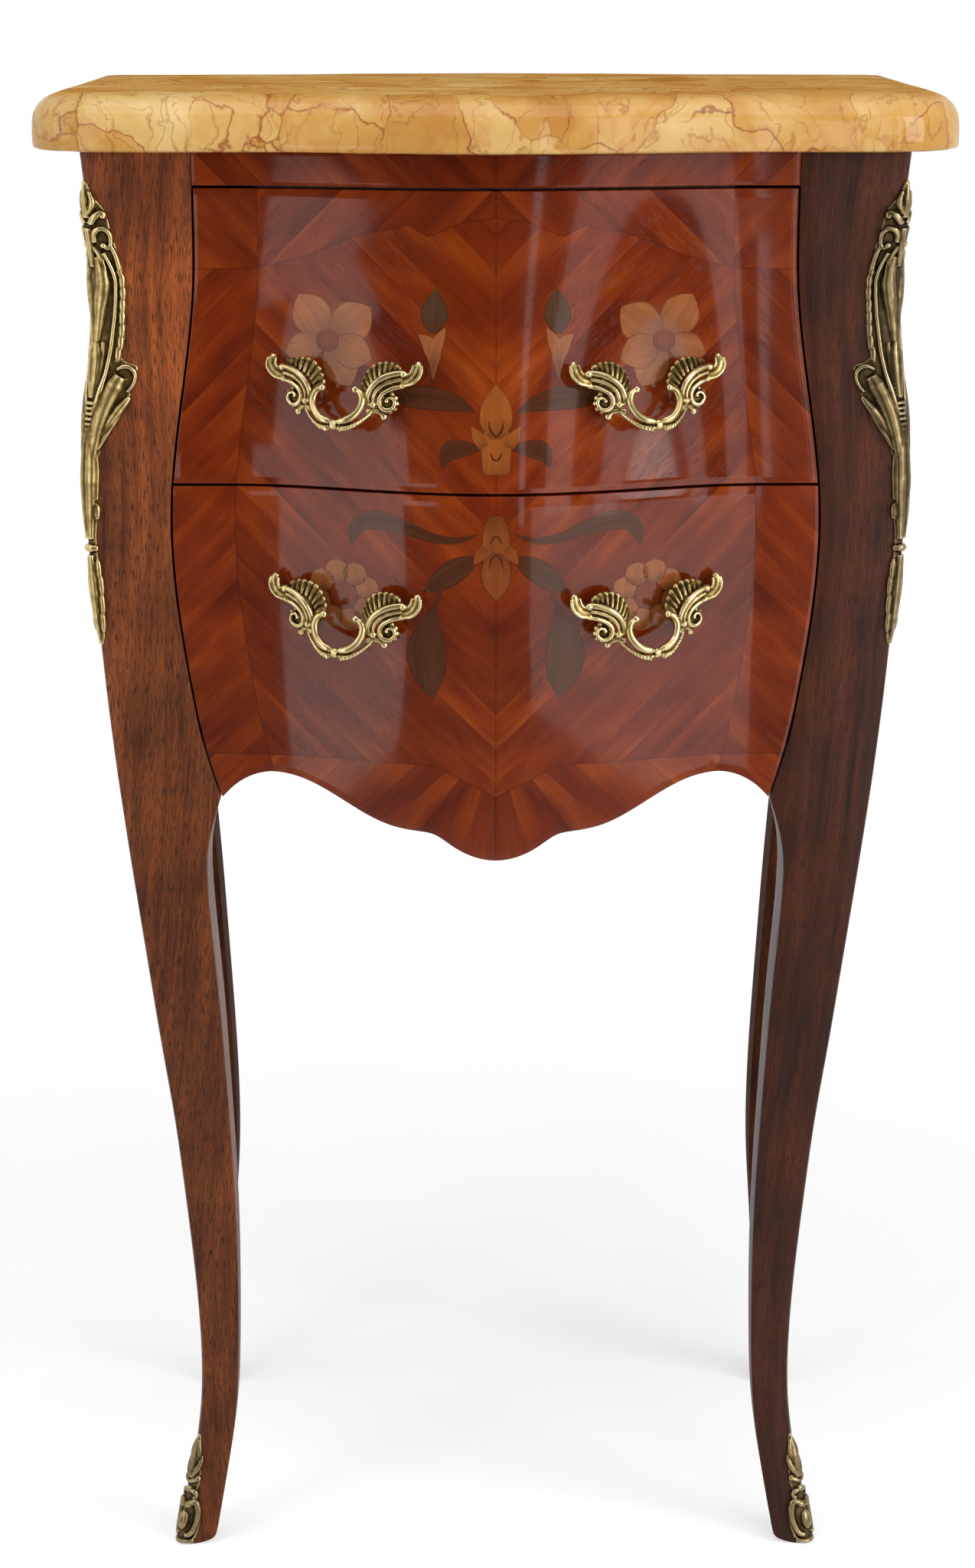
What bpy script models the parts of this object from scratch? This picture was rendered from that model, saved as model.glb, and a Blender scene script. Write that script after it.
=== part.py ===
"""Bombé bedside chest: two drawers, cabriole legs, a marble slab and gilt mounts.

Metres, +Z up, front facing -Y. Pieces are drawn with their depth measured forward from the back of the
case, and the finished chest stands with the floor point under the middle of its overall box at the origin.
"""
import math

import bmesh
import bpy
import numpy as np
from mathutils import Matrix, Vector

# Heights, stacked from the floor up
ARCH_HEIGHT = 0.4345           # floor to the top of the two arches under the lower drawer
LOWER_FRONT_HEIGHT = 0.1471    # arch top to the seam between the drawers
UPPER_FRONT_HEIGHT = 0.1458    # that seam to the seam under the frieze
FRIEZE_HEIGHT = 0.0175         # rail over the upper drawer
SLAB_THICKNESS = 0.0272

# Case in plan
CASE_WIDTH = 0.4072            # over the front posts, just under the slab
CASE_DEPTH = 0.2885            # back of the case to the front of the front posts, just under the slab
POST_WIDTH = 0.0556            # front post, under the slab
REAR_POST_WIDTH = 0.0450
REAR_POST_DEPTH = 0.0400
REAR_SPREAD = 0.0060           # the case is this much wider at the back, on each side

# Cabriole curve: how far the outer faces of a leg stand in from the top of the case
TOE_INSET = 0.0332
ANKLE_INSET = 0.0456
SHIN_INSET = 0.0360
KNEE_INSET = 0.0270
HIP_INSET = 0.0050
BELLY_INSET = 0.0004
WAIST_INSET = 0.0063

# Levels where the curves turn: 0 is the floor, 1 the arch top and 2 the underside of the slab
ANKLE_LEVEL = 0.205
CALF_LEVEL = 0.367
SHIN_LEVEL = 0.515
KNEE_LEVEL = 0.675
THIGH_LEVEL = 0.897
APRON_LEVEL = 0.940
ROOT_LEVEL = 1.072
HIP_LEVEL = 1.188
SWELL_LEVEL = 1.404
BELLY_LEVEL = 1.468
WAIST_LEVEL = 1.758
NECK_LEVEL = 1.836

# Seam between drawer and post: how far it stands out from the post's inner line at the top
SEAM_SWELL = 0.0132
SEAM_ROOT = 0.0016
SEAM_CORNER_INSET = 0.0089

# Inner edge of the leg below the case, measured from the same line
INNER_TOE = 0.0025
INNER_ANKLE_INSET = 0.0104
INNER_CALF_INSET = 0.0114
INNER_KNEE_INSET = 0.0062
INNER_THIGH_INSET = 0.0003

# Rear legs: a straighter copy of the front ones
REAR_CURVE = 0.80              # their share of the outer cabriole curve
REAR_INNER_CURVE = 1.30        # and of the inner one
REAR_TOE_INSET = 0.0445
REAR_INNER_TOE_INSET = 0.0072
REAR_INNER_ANKLE_INSET = 0.0084
REAR_ANKLE_SETBACK = 0.0146    # how far the ankle stands forward of the flat back
REAR_TOE_SETBACK = 0.0080

# Bowed front
FRIEZE_BOW = 0.0185
BELLY_BOW = 0.0365
APRON_BOW = 0.0280
BOW_MARGIN = 0.0180            # the bow dies out this far inside the posts' inner line
SIDE_BOW_SHARE = 0.25          # the sides bow this much as far as the front

# Lower edge of the lower drawer
CORNER_DROP = 0.0150           # arch top down to the corner where drawer and leg part
ARCH_AT = 0.1106               # arch top from the middle
ARCH_ROUNDNESS = 0.80          # share of a quarter ellipse that each arch ends with
SHOULDER_AT = 0.0420
SHOULDER_DROP = 0.0270
CUSP_AT = 0.0303
CUSP_DROP = 0.0278
LOBE_DROP = 0.0425
SIDE_ARCH_RISE = 0.0160        # arches in the lower edge of the side panels

# Slab
SLAB_FRONT_OVERHANG = 0.0190
SLAB_SIDE_OVERHANG = 0.0245
SLAB_REAR_OVERHANG = 0.0040
SLAB_REAR_TAPER = 0.0060       # the slab narrows by this much on each side towards the back
SLAB_CORNER_RADIUS = 0.0450
SLAB_UNDER_ROUND = 0.0024      # radius of its lower edge
SLAB_THUMB_HEIGHT = 0.0145     # the rounded upper edge
SLAB_THUMB_WIDTH = 0.0155

# Boards
PANEL_THICKNESS = 0.0180
BACK_THICKNESS = 0.0080
BACK_INSET = 0.0060
RAIL_HEIGHT = 0.0240
RAIL_THICKNESS = 0.0180
FRONT_SETBACK = 0.0300         # inner face of the drawer fronts, behind the front of the posts
FRONT_INNER_BOW = 0.0200
POST_CORNER_RADIUS = 0.0065    # outer corner of the front posts, at the top
FOOT_CORNER_RADIUS = 0.0045
FOOT_ROUND_WIDTH = 0.0100      # rounding under the inner side of the front feet
FOOT_ROUND_HEIGHT = 0.0065

# Drawer boxes and what carries them
BOX_INSET = 0.0100             # outer face of the drawer sides, inside the posts' inner line
BOX_RISE = 0.0174              # bottom of a drawer side over the lower edge of its bay
BOX_HEADROOM = 0.0100
BOX_REAR = 0.0580              # rear end of the drawer sides, from the back of the case
SIDE_THICKNESS = 0.0100
DRAWER_BACK_THICKNESS = 0.0080
DRAWER_BACK_DROP = 0.0060
BOTTOM_THICKNESS = 0.0060
BOTTOM_RISE = 0.0060
GROOVE_DEPTH = 0.0040
RUNNER_THICKNESS = 0.0120
RUNNER_LEDGE = 0.0060          # the ledge reaches this far inside the drawer side
GUIDE_WIDTH = 0.0120
GUIDE_HEIGHT = 0.0100
GUIDE_PLAY = 0.0006
BOARD_THICKNESS = 0.0045       # dust board and bottom board
BOARD_COVER = 0.0035           # wood over the groove that holds them
BOARD_FRONT_SETBACK = 0.0450
KICKER_PLAY = 0.0020
KICKER_THICKNESS = 0.0120
STOP_LENGTH = 0.0100
STOP_HEIGHT = 0.0120

# Clearances
JOINT_GAP = 0.0003             # glued and seated faces
SIDE_SEAM = 0.0011             # visible gap beside a drawer front
LEVEL_SEAM = 0.0014            # visible gap above a drawer front
SIDE_RELIEF = 0.0020           # between a runner and the side panel

# Pulls: one casting used four times, drawn from the middle of its two fixing posts
PULL_FROM_POST = 0.0760        # middle of a pull from the posts' inner line
UPPER_PULL_RISE = 0.0508       # over the lower edge of the upper bay
LOWER_PULL_RISE = 0.0885       # over the arch top
UPPER_PULL_TILT = 1.0          # outer end up, in degrees
LOWER_PULL_TILT = 5.0
PULL_POST_SPAN = 0.0450        # between the two fixing posts
PULL_POST_RADIUS = 0.0050
PULL_POST_LENGTH = 0.0085
PULL_SEAT = 0.0007             # lift of the flat posts off the bowed front
PULL_REACH = 0.0210            # front of the drawer to the middle of the bow
PULL_DROP = 0.0168             # posts to the middle of the bow
CAST_VOXEL = 0.0008
PULL_FACETS = 800
# Bars of its right half: distance from the middle, depth off the drawer, height, and radius there
PULL_BOW = ((0.0065, 0.0205, -0.0155, 0.0025), (0.0122, 0.0182, -0.0098, 0.0026),
            (0.0156, 0.0145, -0.0020, 0.0028), (0.0195, 0.0100, 0.0040, 0.0032))
PULL_SCROLL = ((0.0152, 0.0110, -0.0040, 0.0018), (0.0186, 0.0115, 0.0012, 0.0026),
               (0.0240, 0.0105, 0.0058, 0.0028), (0.0305, 0.0088, 0.0078, 0.0024))
PULL_HORN = ((0.0295, 0.0078, 0.0050, 0.0022), (0.0342, 0.0074, 0.0040, 0.0030),
             (0.0372, 0.0070, 0.0082, 0.0030), (0.0394, 0.0066, 0.0136, 0.0013))
# Lumps of its right half: middle, three radii, and turn in degrees
PULL_SHELL = ((0.0205, 0.0062, 0.0076), (0.0092, 0.0034, 0.0062), -18)
PULL_ROSETTE = ((0.0240, 0.0078, -0.0038), (0.0044, 0.0034, 0.0044), 0)
PULL_BUD = ((0.0112, 0.0110, -0.0004), (0.0052, 0.0022, 0.0022), 30)
PULL_CURL = ((0.0228, 0.0066, -0.0106), (0.0026, 0.0026, 0.0042), 20)
PULL_KNOT_RADIUS = 0.0031

# Corner mounts on the front posts, and shoes on the front feet
CHUTE_TOP_DROP = 0.0145        # below the slab
CHUTE_LENGTH = 0.2300
CHUTE_EDGE = 0.0011
CHUTE_RELIEF = 0.0022
SABOT_HEIGHT = 0.0590
SABOT_EDGE = 0.0011
SABOT_RELIEF = 0.0026
SABOT_LIFT = 0.0005
# Half width of a mount, measured round the corner, at a share of its length from the bottom
CHUTE_OUTLINE = ((0.000, 0.0050), (0.210, 0.0056), (0.430, 0.0054), (0.500, 0.0100), (0.537, 0.0172),
                 (0.550, 0.0140), (0.600, 0.0190), (0.613, 0.0106), (0.665, 0.0102), (0.757, 0.0124),
                 (0.811, 0.0121), (0.906, 0.0086), (0.957, 0.0056), (1.000, 0.0050))
SABOT_OUTLINE = ((0.00, 0.0140), (0.20, 0.0150), (0.36, 0.0115), (0.44, 0.0080), (0.58, 0.0094),
                 (0.74, 0.0080), (1.00, 0.0042))
# Share of the relief at a share of the length
CHUTE_SWELL = ((0.000, 0.20), (0.130, 0.70), (0.300, 0.80), (0.430, 0.70), (0.600, 1.00), (0.760, 1.20),
               (0.930, 0.90), (1.000, 0.20))
SABOT_SWELL = ((0.00, 0.90), (0.20, 1.00), (0.36, 0.90), (0.44, 0.60), (0.74, 0.90), (1.00, 0.15))
MOUNT_FACETS = 10              # across the outside of a mount

# Sections along a leg, below and within the case
LEG_STATIONS = 17
CASE_STATIONS = 20
CORNER_STEP = 0.0020           # close sections each way from where drawer and leg part

# Heights and plan lines worked out from the above
SEAM_HEIGHT = ARCH_HEIGHT + LOWER_FRONT_HEIGHT
FRIEZE_LINE = SEAM_HEIGHT + UPPER_FRONT_HEIGHT
CASE_HEIGHT = FRIEZE_LINE + FRIEZE_HEIGHT
CORNER_HEIGHT = ARCH_HEIGHT - CORNER_DROP
CASE_HALF = CASE_WIDTH / 2
INNER_LINE = CASE_HALF - POST_WIDTH
BOW_HALF = INNER_LINE - BOW_MARGIN
BOX_HALF = INNER_LINE - BOX_INSET
REAR_HALF = CASE_HALF + REAR_SPREAD
REAR_INNER_LINE = REAR_HALF - REAR_POST_WIDTH


def height_of(level):
    """Height of a level on the scale of 0 at the floor, 1 at the arch top and 2 under the slab."""
    if level < 1:
        return level * ARCH_HEIGHT
    return ARCH_HEIGHT + (level - 1) * (CASE_HEIGHT - ARCH_HEIGHT)


def smooth_curve(knots):
    """Cubic curve through (position, value) knots that turns only at its knots."""
    at = np.array([knot[0] for knot in knots])
    value = np.array([knot[1] for knot in knots])
    slope = np.diff(value) / np.diff(at)
    tangent = np.concatenate((slope[:1], np.zeros(len(knots) - 2), slope[-1:]))
    for i in range(1, len(knots) - 1):
        if slope[i - 1] * slope[i] > 0:
            tangent[i] = 2 * slope[i - 1] * slope[i] / (slope[i - 1] + slope[i])

    def curve(position):
        i = int(np.clip(np.searchsorted(at, position) - 1, 0, len(at) - 2))
        step = at[i + 1] - at[i]
        t = float(np.clip((position - at[i]) / step, 0, 1))
        ease = t * t * (3 - 2 * t)
        lead = step * t * (1 - t) * ((1 - t) * tangent[i] - t * tangent[i + 1])
        return float(value[i] + (value[i + 1] - value[i]) * ease + lead)

    return curve


def level_curve(*knots):
    return smooth_curve([(height_of(level), value) for level, value in knots])


def outer_curve(toe_inset):
    return level_curve((0, -toe_inset), (ANKLE_LEVEL, -ANKLE_INSET), (SHIN_LEVEL, -SHIN_INSET),
                       (KNEE_LEVEL, -KNEE_INSET), (HIP_LEVEL, -HIP_INSET), (BELLY_LEVEL, -BELLY_INSET),
                       (WAIST_LEVEL, -WAIST_INSET), (2, 0))


def inner_curve(toe, ankle_inset, *top):
    return level_curve((0, toe), (ANKLE_LEVEL, -ankle_inset), (CALF_LEVEL, -INNER_CALF_INSET),
                       (KNEE_LEVEL, -INNER_KNEE_INSET), (THIGH_LEVEL, -INNER_THIGH_INSET), *top)


CORNER_LEVEL = CORNER_HEIGHT / ARCH_HEIGHT
front_outer = outer_curve(TOE_INSET)
rear_outer = outer_curve(REAR_TOE_INSET)
front_inner = inner_curve(INNER_TOE, INNER_ANKLE_INSET, (CORNER_LEVEL, -SEAM_CORNER_INSET))
rear_inner = inner_curve(-REAR_INNER_TOE_INSET, REAR_INNER_ANKLE_INSET)
rear_setback = level_curve((0, REAR_TOE_SETBACK), (ANKLE_LEVEL, REAR_ANKLE_SETBACK), (1, 0), (2, 0))
seam_curve = level_curve((CORNER_LEVEL, -SEAM_CORNER_INSET), (ROOT_LEVEL, SEAM_ROOT),
                         (SWELL_LEVEL, SEAM_SWELL), (NECK_LEVEL, 0), (2, 0))
bow_curve = level_curve((KNEE_LEVEL, 0), (APRON_LEVEL, APRON_BOW), (SWELL_LEVEL, BELLY_BOW),
                        (2, FRIEZE_BOW))


def seam_half(z):
    """Half width of the drawer opening."""
    return INNER_LINE + seam_curve(z)


def leg_outer(z):
    return CASE_HALF + front_outer(z)


def leg_inner(z):
    if z >= CORNER_HEIGHT:
        return seam_half(z) + SIDE_SEAM / 2
    return INNER_LINE + front_inner(z) + SIDE_SEAM / 2


def post_front(z):
    """Depth of the front face of the front posts."""
    return CASE_DEPTH + front_outer(z)


def post_back(z):
    return post_front(z) - (leg_outer(z) - leg_inner(z))


def swell(x):
    """Share of the bow at a distance from the middle: 1 there, easing to 0."""
    return max(0, 1 - (x / BOW_HALF) ** 2) ** 2


def front_depth(x, z):
    """Depth of the bowed front."""
    return post_front(z) + bow_curve(z) * swell(x)


def front_back(x):
    """Depth of the inner face of the drawer fronts, bowed in plan and upright."""
    return CASE_DEPTH - FRONT_SETBACK + FRONT_INNER_BOW * swell(x)


def rear_leg_outer(z):
    return REAR_HALF + REAR_CURVE * rear_outer(z)


def rear_leg_inner(z):
    thigh = height_of(THIGH_LEVEL)
    return REAR_INNER_LINE + REAR_INNER_CURVE * (rear_inner(min(z, thigh)) - rear_inner(thigh))


def rear_leg_front(z):
    thigh = height_of(THIGH_LEVEL)
    slimming = (rear_leg_outer(z) - rear_leg_inner(z)) / (rear_leg_outer(thigh) - rear_leg_inner(thigh))
    return rear_setback(z) + REAR_POST_DEPTH * min(1, slimming)


def lower_edge(x):
    """Height of the scalloped lower edge of the lower drawer."""
    x = abs(x)
    corner = seam_half(CORNER_HEIGHT)
    if x <= CUSP_AT:
        return ARCH_HEIGHT - LOBE_DROP + (LOBE_DROP - CUSP_DROP) * (x / CUSP_AT) ** 2
    if x <= SHOULDER_AT:
        ease = math.sin(math.pi / 2 * (x - CUSP_AT) / (SHOULDER_AT - CUSP_AT))
        return ARCH_HEIGHT - CUSP_DROP + (CUSP_DROP - SHOULDER_DROP) * ease
    if x <= ARCH_AT:
        ease = 0.5 - 0.5 * math.cos(math.pi * (x - SHOULDER_AT) / (ARCH_AT - SHOULDER_AT))
        return ARCH_HEIGHT - SHOULDER_DROP * (1 - ease)
    across = min(1, ARCH_ROUNDNESS * (x - ARCH_AT) / (corner - ARCH_AT))
    fall = (1 - math.sqrt(1 - across ** 2)) / (1 - math.sqrt(1 - ARCH_ROUNDNESS ** 2))
    return ARCH_HEIGHT - CORNER_DROP * fall


def at(x, depth, z):
    return Vector((x, -depth, z))


def finish(name, colour, roughness, metallic=0.0):
    made = bpy.data.materials.new(name)
    made.use_nodes = True
    shader = made.node_tree.nodes["Principled BSDF"]
    shader.inputs["Base Color"].default_value = (*colour, 1)
    shader.inputs["Roughness"].default_value = roughness
    shader.inputs["Metallic"].default_value = metallic
    return made


def add_empty(name, parent=None):
    made = bpy.data.objects.new(name, None)
    made.parent = parent
    bpy.context.collection.objects.link(made)
    return made


def add_mesh(name, mesh, material, parent):
    mesh.materials.clear()
    mesh.materials.append(material)
    made = bpy.data.objects.new(name, mesh)
    made.parent = parent
    bpy.context.collection.objects.link(made)
    return made


def add_piece(name, bm, material, parent, smooth_angle=35):
    """Object from a bmesh, with its faces turned outwards."""
    bmesh.ops.recalc_face_normals(bm, faces=bm.faces)
    mesh = bpy.data.meshes.new(name)
    bm.to_mesh(mesh)
    bm.free()
    mesh.shade_smooth()
    mesh.set_sharp_from_angle(angle=math.radians(smooth_angle))
    return add_mesh(name, mesh, material, parent)


def grid(bm, columns, rows, place):
    """Sheet of cells whose corner (column, row) lies at place(column, row)."""
    made = bmesh.ops.create_grid(bm, x_segments=columns, y_segments=rows, size=0.5)
    for vert in made["verts"]:
        vert.co = place(round((vert.co.x + 0.5) * columns), round((vert.co.y + 0.5) * rows))


def loft(sections):
    """Closed skin over a list of sections with as many points each."""
    bm = bmesh.new()
    around = len(sections[0])
    grid(bm, around, len(sections) - 1, lambda i, j: sections[j][i % around])
    bmesh.ops.remove_doubles(bm, verts=bm.verts, dist=1e-6)
    bmesh.ops.holes_fill(bm, edges=[edge for edge in bm.edges if edge.is_boundary], sides=0)
    return bm


def thicken(bm, move):
    """Closes a sheet into a slab whose far side is the sheet moved by move(point)."""
    made = bmesh.ops.extrude_face_region(bm, geom=bm.faces[:])
    for vert in made["geom"]:
        if isinstance(vert, bmesh.types.BMVert):
            vert.co = move(vert.co)
    return bm


def prism(outline, move):
    """Slab on a flat outline."""
    bm = bmesh.new()
    bm.faces.new([bm.verts.new(point) for point in outline])
    return thicken(bm, move)


def box(x_range, depth_range, z_range):
    bm = bmesh.new()
    bmesh.ops.create_cube(bm, size=1)
    low = at(x_range[0], depth_range[1], z_range[0])
    high = at(x_range[1], depth_range[0], z_range[1])
    for vert in bm.verts:
        vert.co = [low[i] + (vert.co[i] + 0.5) * (high[i] - low[i]) for i in range(3)]
    return bm


def stations(*stops, steps):
    """Positions from stop to stop, with so many steps in each stretch."""
    places = [stops[0]]
    for start, end, count in zip(stops, stops[1:], steps):
        places += [start + (end - start) * (i + 1) / count for i in range(count)]
    return places


def mirror_x(points, side):
    return [Vector((side * point.x, point.y, point.z)) for point in points]


def corner_radius(z):
    return FOOT_CORNER_RADIUS + (POST_CORNER_RADIUS - FOOT_CORNER_RADIUS) * z / CASE_HEIGHT


def foot_rounding(z):
    """How far the sole stands in from the inner side of the foot."""
    below = max(0, 1 - z / FOOT_ROUND_HEIGHT)
    return FOOT_ROUND_WIDTH * (1 - math.sqrt(1 - below ** 2))


def front_leg_section(z):
    """Section of the right front leg: flush front, rounded outer corner, square behind."""
    outer, inner, front = leg_outer(z), leg_inner(z) + foot_rounding(z), post_front(z)
    radius = corner_radius(z)
    middle = (inner + outer - radius) / 2
    mitre = radius * (1 - math.sqrt(0.5))
    return [at(inner, post_back(z), z),
            at(inner, front_depth(inner, z), z),
            at(middle, front_depth(middle, z), z),
            at(outer - radius, front, z),
            at(outer - mitre, front - mitre, z),
            at(outer, front - radius, z),
            at(outer, post_back(z), z)]


def rear_leg_section(z):
    """Section of the right rear leg."""
    return [at(rear_leg_inner(z), rear_setback(z), z),
            at(rear_leg_inner(z), rear_leg_front(z), z),
            at(rear_leg_outer(z), rear_leg_front(z), z),
            at(rear_leg_outer(z), rear_setback(z), z)]


LEG_HEIGHTS = stations(0, FOOT_ROUND_HEIGHT, CORNER_HEIGHT - CORNER_STEP, CORNER_HEIGHT,
                       CORNER_HEIGHT + CORNER_STEP, CASE_HEIGHT, steps=(3, LEG_STATIONS, 1, 1, CASE_STATIONS))


def build_legs(root, wood):
    for side, word in ((-1, "left"), (1, "right")):
        for place, section in (("front", front_leg_section), ("rear", rear_leg_section)):
            sections = [mirror_x(section(z), side) for z in LEG_HEIGHTS]
            add_piece(f"{place}_leg_{word}", loft(sections), wood, root)


def bowed_board(columns, top, bottom, half, steps):
    """Board with the bowed front's face: half(z) wide each way, from top down to bottom(share of half)."""
    bm = bmesh.new()

    def place(i, j):
        share = columns[i]
        low = bottom(share)
        z = top + (low - top) * j / steps
        x = share * half(z)
        return at(x, front_depth(x, z), z)

    grid(bm, len(columns) - 1, steps, place)
    return thicken(bm, lambda point: at(point.x, front_back(point.x), point.z))


def drawer_half(z):
    return seam_half(z) - SIDE_SEAM / 2


def scallop(share):
    """Height of the lower edge at a share of the drawer's half width there."""
    z = ARCH_HEIGHT
    for _ in range(8):
        z = lower_edge(share * drawer_half(z))
    return z


def even_columns(count):
    return [2 * i / count - 1 for i in range(count + 1)]


def scallop_columns():
    """Columns that pass through the cusps, shoulders and arch tops of the lower edge."""
    half = drawer_half(ARCH_HEIGHT)
    right = stations(0, CUSP_AT / half, SHOULDER_AT / half, ARCH_AT / half, 1, steps=(4, 2, 6, 5))
    return [-share for share in reversed(right[1:])] + right


def build_front(root, upper, lower, veneer):
    frieze_low = FRIEZE_LINE + LEVEL_SEAM / 2
    frieze = bowed_board(even_columns(22), CASE_HEIGHT - JOINT_GAP, lambda share: frieze_low,
                         lambda z: leg_inner(z) - JOINT_GAP, 2)
    add_piece("frieze_rail", frieze, veneer, root)
    upper_low = SEAM_HEIGHT + LEVEL_SEAM / 2
    front = bowed_board(even_columns(22), FRIEZE_LINE - LEVEL_SEAM / 2, lambda share: upper_low,
                        drawer_half, 8)
    add_piece("upper_drawer_front", front, veneer, upper)
    front = bowed_board(scallop_columns(), SEAM_HEIGHT - LEVEL_SEAM / 2, scallop, drawer_half, 8)
    add_piece("lower_drawer_front", front, veneer, lower)


def side_face(share, z):
    """Outer face of the right side panel, from the rear leg (share 0) to the front leg (share 1)."""
    bow = SIDE_BOW_SHARE * bow_curve(z) * (1 - (2 * share - 1) ** 2) ** 2
    rear, front = rear_leg_front(z) + JOINT_GAP, post_back(z) - JOINT_GAP
    x = rear_leg_outer(z) + (leg_outer(z) - rear_leg_outer(z)) * share + bow
    return at(x, rear + (front - rear) * share, z)


def build_sides(root, veneer):
    columns, rows = 12, CASE_STATIONS
    for side, word in ((-1, "left"), (1, "right")):
        bm = bmesh.new()

        def place(i, j):
            share = i / columns
            low = CORNER_HEIGHT + SIDE_ARCH_RISE * math.sin(2 * math.pi * share) ** 2
            top = CASE_HEIGHT - JOINT_GAP
            point = side_face(share, top + (low - top) * j / rows)
            return Vector((side * point.x, point.y, point.z))

        grid(bm, columns, rows, place)
        thicken(bm, lambda point: Vector((point.x - side * PANEL_THICKNESS, point.y, point.z)))
        add_piece(f"side_panel_{word}", bm, veneer, root)


def round_edge(bm, faces, width, height, turns):
    """Draws flat faces outwards by height, over an edge rounded that much and width inwards."""
    for step in range(turns):
        start, end = math.pi / 2 * step / turns, math.pi / 2 * (step + 1) / turns
        bmesh.ops.inset_region(bm, faces=faces, thickness=width * (math.cos(start) - math.cos(end)),
                               depth=height * (math.sin(end) - math.sin(start)))


def slab_outline():
    """Plan of the slab: straight back, round front corners and a bowed front."""
    half = CASE_HALF + SLAB_SIDE_OVERHANG
    front = CASE_DEPTH + SLAB_FRONT_OVERHANG
    radius = SLAB_CORNER_RADIUS
    right = [(half - SLAB_REAR_TAPER, -SLAB_REAR_OVERHANG)]
    for turn in stations(0, math.pi / 2, steps=(8,)):
        right.append((half - radius + radius * math.cos(turn), front - radius + radius * math.sin(turn)))
    for x in stations(BOW_HALF, 0, steps=(8,))[:-1]:
        right.append((x, front + FRIEZE_BOW * swell(x)))
    return right + [(0, front + FRIEZE_BOW)] + [(-x, depth) for x, depth in reversed(right)]


def build_slab(root, marble):
    """Slab with an upright edge, eased below and rounded like a thumb above."""
    low = CASE_HEIGHT + SLAB_UNDER_ROUND
    high = CASE_HEIGHT + SLAB_THICKNESS - SLAB_THUMB_HEIGHT
    outline = [at(x, depth, low) for x, depth in slab_outline()]
    bm = prism(outline, lambda point: Vector((point.x, point.y, high)))
    bmesh.ops.recalc_face_normals(bm, faces=bm.faces)
    upper = [face for face in bm.faces if face.normal.z > 0.9]
    lower = [face for face in bm.faces if face.normal.z < -0.9]
    round_edge(bm, upper, SLAB_THUMB_WIDTH, SLAB_THUMB_HEIGHT, 5)
    round_edge(bm, lower, SLAB_UNDER_ROUND, SLAB_UNDER_ROUND, 2)
    add_piece("marble_slab", bm, marble, root)


def build_back(root, plain):
    half = REAR_INNER_LINE - JOINT_GAP
    rail_low = CASE_HEIGHT - RAIL_HEIGHT
    add_piece("rear_top_rail", box((-half, half), (BACK_INSET, BACK_INSET + RAIL_THICKNESS),
                                   (rail_low, CASE_HEIGHT - JOINT_GAP)), plain, root)
    add_piece("back_panel", box((-half, half), (BACK_INSET, BACK_INSET + BACK_THICKNESS),
                                (ARCH_HEIGHT, rail_low - JOINT_GAP)), plain, root)


class Bay:
    """Heights and plan lines that one drawer box shares with its runners."""

    def __init__(self, word, bottom, top):
        self.word = word
        self.box_low = bottom + BOX_RISE
        self.box_high = top - BOX_HEADROOM
        self.ledge = self.box_low - JOINT_GAP
        self.ledge_low = self.ledge - RUNNER_THICKNESS
        self.groove_low = self.box_low + BOTTOM_RISE
        self.rear = rear_leg_front(self.ledge) + JOINT_GAP
        self.runner_outer = leg_outer(self.ledge_low) - PANEL_THICKNESS - SIDE_RELIEF

    def reach(self, low, high):
        """Depth at which a strip between two heights meets the front post."""
        return min(post_back(low), post_back(high)) - JOINT_GAP


def build_runners(bay, root, plain):
    """Ledges with an upright guide, housed between the front and rear legs."""
    inner = BOX_HALF - SIDE_THICKNESS - RUNNER_LEDGE
    guide = BOX_HALF + GUIDE_PLAY
    groove_high = bay.ledge - BOARD_COVER
    groove_low = groove_high - BOARD_THICKNESS - 2 * JOINT_GAP
    high = bay.ledge + GUIDE_HEIGHT
    profile = [(inner, bay.ledge_low), (bay.runner_outer, bay.ledge_low), (bay.runner_outer, bay.ledge),
               (guide + GUIDE_WIDTH, bay.ledge), (guide + GUIDE_WIDTH, high), (guide, high),
               (guide, bay.ledge), (inner, bay.ledge), (inner, groove_high),
               (inner + GROOVE_DEPTH, groove_high), (inner + GROOVE_DEPTH, groove_low), (inner, groove_low)]
    front = bay.reach(bay.ledge_low, high)
    for side, word in ((-1, "left"), (1, "right")):
        runner = prism([at(side * x, bay.rear, z) for x, z in profile],
                       lambda point: at(point.x, front, point.z))
        add_piece(f"{bay.word}_runner_{word}", runner, plain, root)
        inside, outside = side * (BOX_HALF - SIDE_THICKNESS), side * BOX_HALF
        stop = box((min(inside, outside), max(inside, outside)),
                   (BOX_REAR - JOINT_GAP - STOP_LENGTH, BOX_REAR - JOINT_GAP),
                   (bay.ledge + JOINT_GAP, bay.ledge + STOP_HEIGHT))
        add_piece(f"{bay.word}_drawer_stop_{word}", stop, plain, root)
    half = inner + GROOVE_DEPTH - JOINT_GAP
    return box((-half, half), (BACK_INSET + BACK_THICKNESS + JOINT_GAP, CASE_DEPTH - BOARD_FRONT_SETBACK),
               (groove_low + JOINT_GAP, groove_high - JOINT_GAP))


def build_kickers(bay, root, plain):
    """Strips over the upper drawer that keep it level as it is pulled."""
    low = bay.box_high + KICKER_PLAY
    high = low + KICKER_THICKNESS
    inner = BOX_HALF - SIDE_THICKNESS - RUNNER_LEDGE
    outer = min(leg_outer(low), leg_outer(high)) - PANEL_THICKNESS - SIDE_RELIEF
    for side, word in ((-1, "left"), (1, "right")):
        ends = sorted((side * inner, side * outer))
        add_piece(f"kicker_{word}", box(ends, (bay.rear, bay.reach(low, high)), (low, high)), plain, root)


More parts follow.
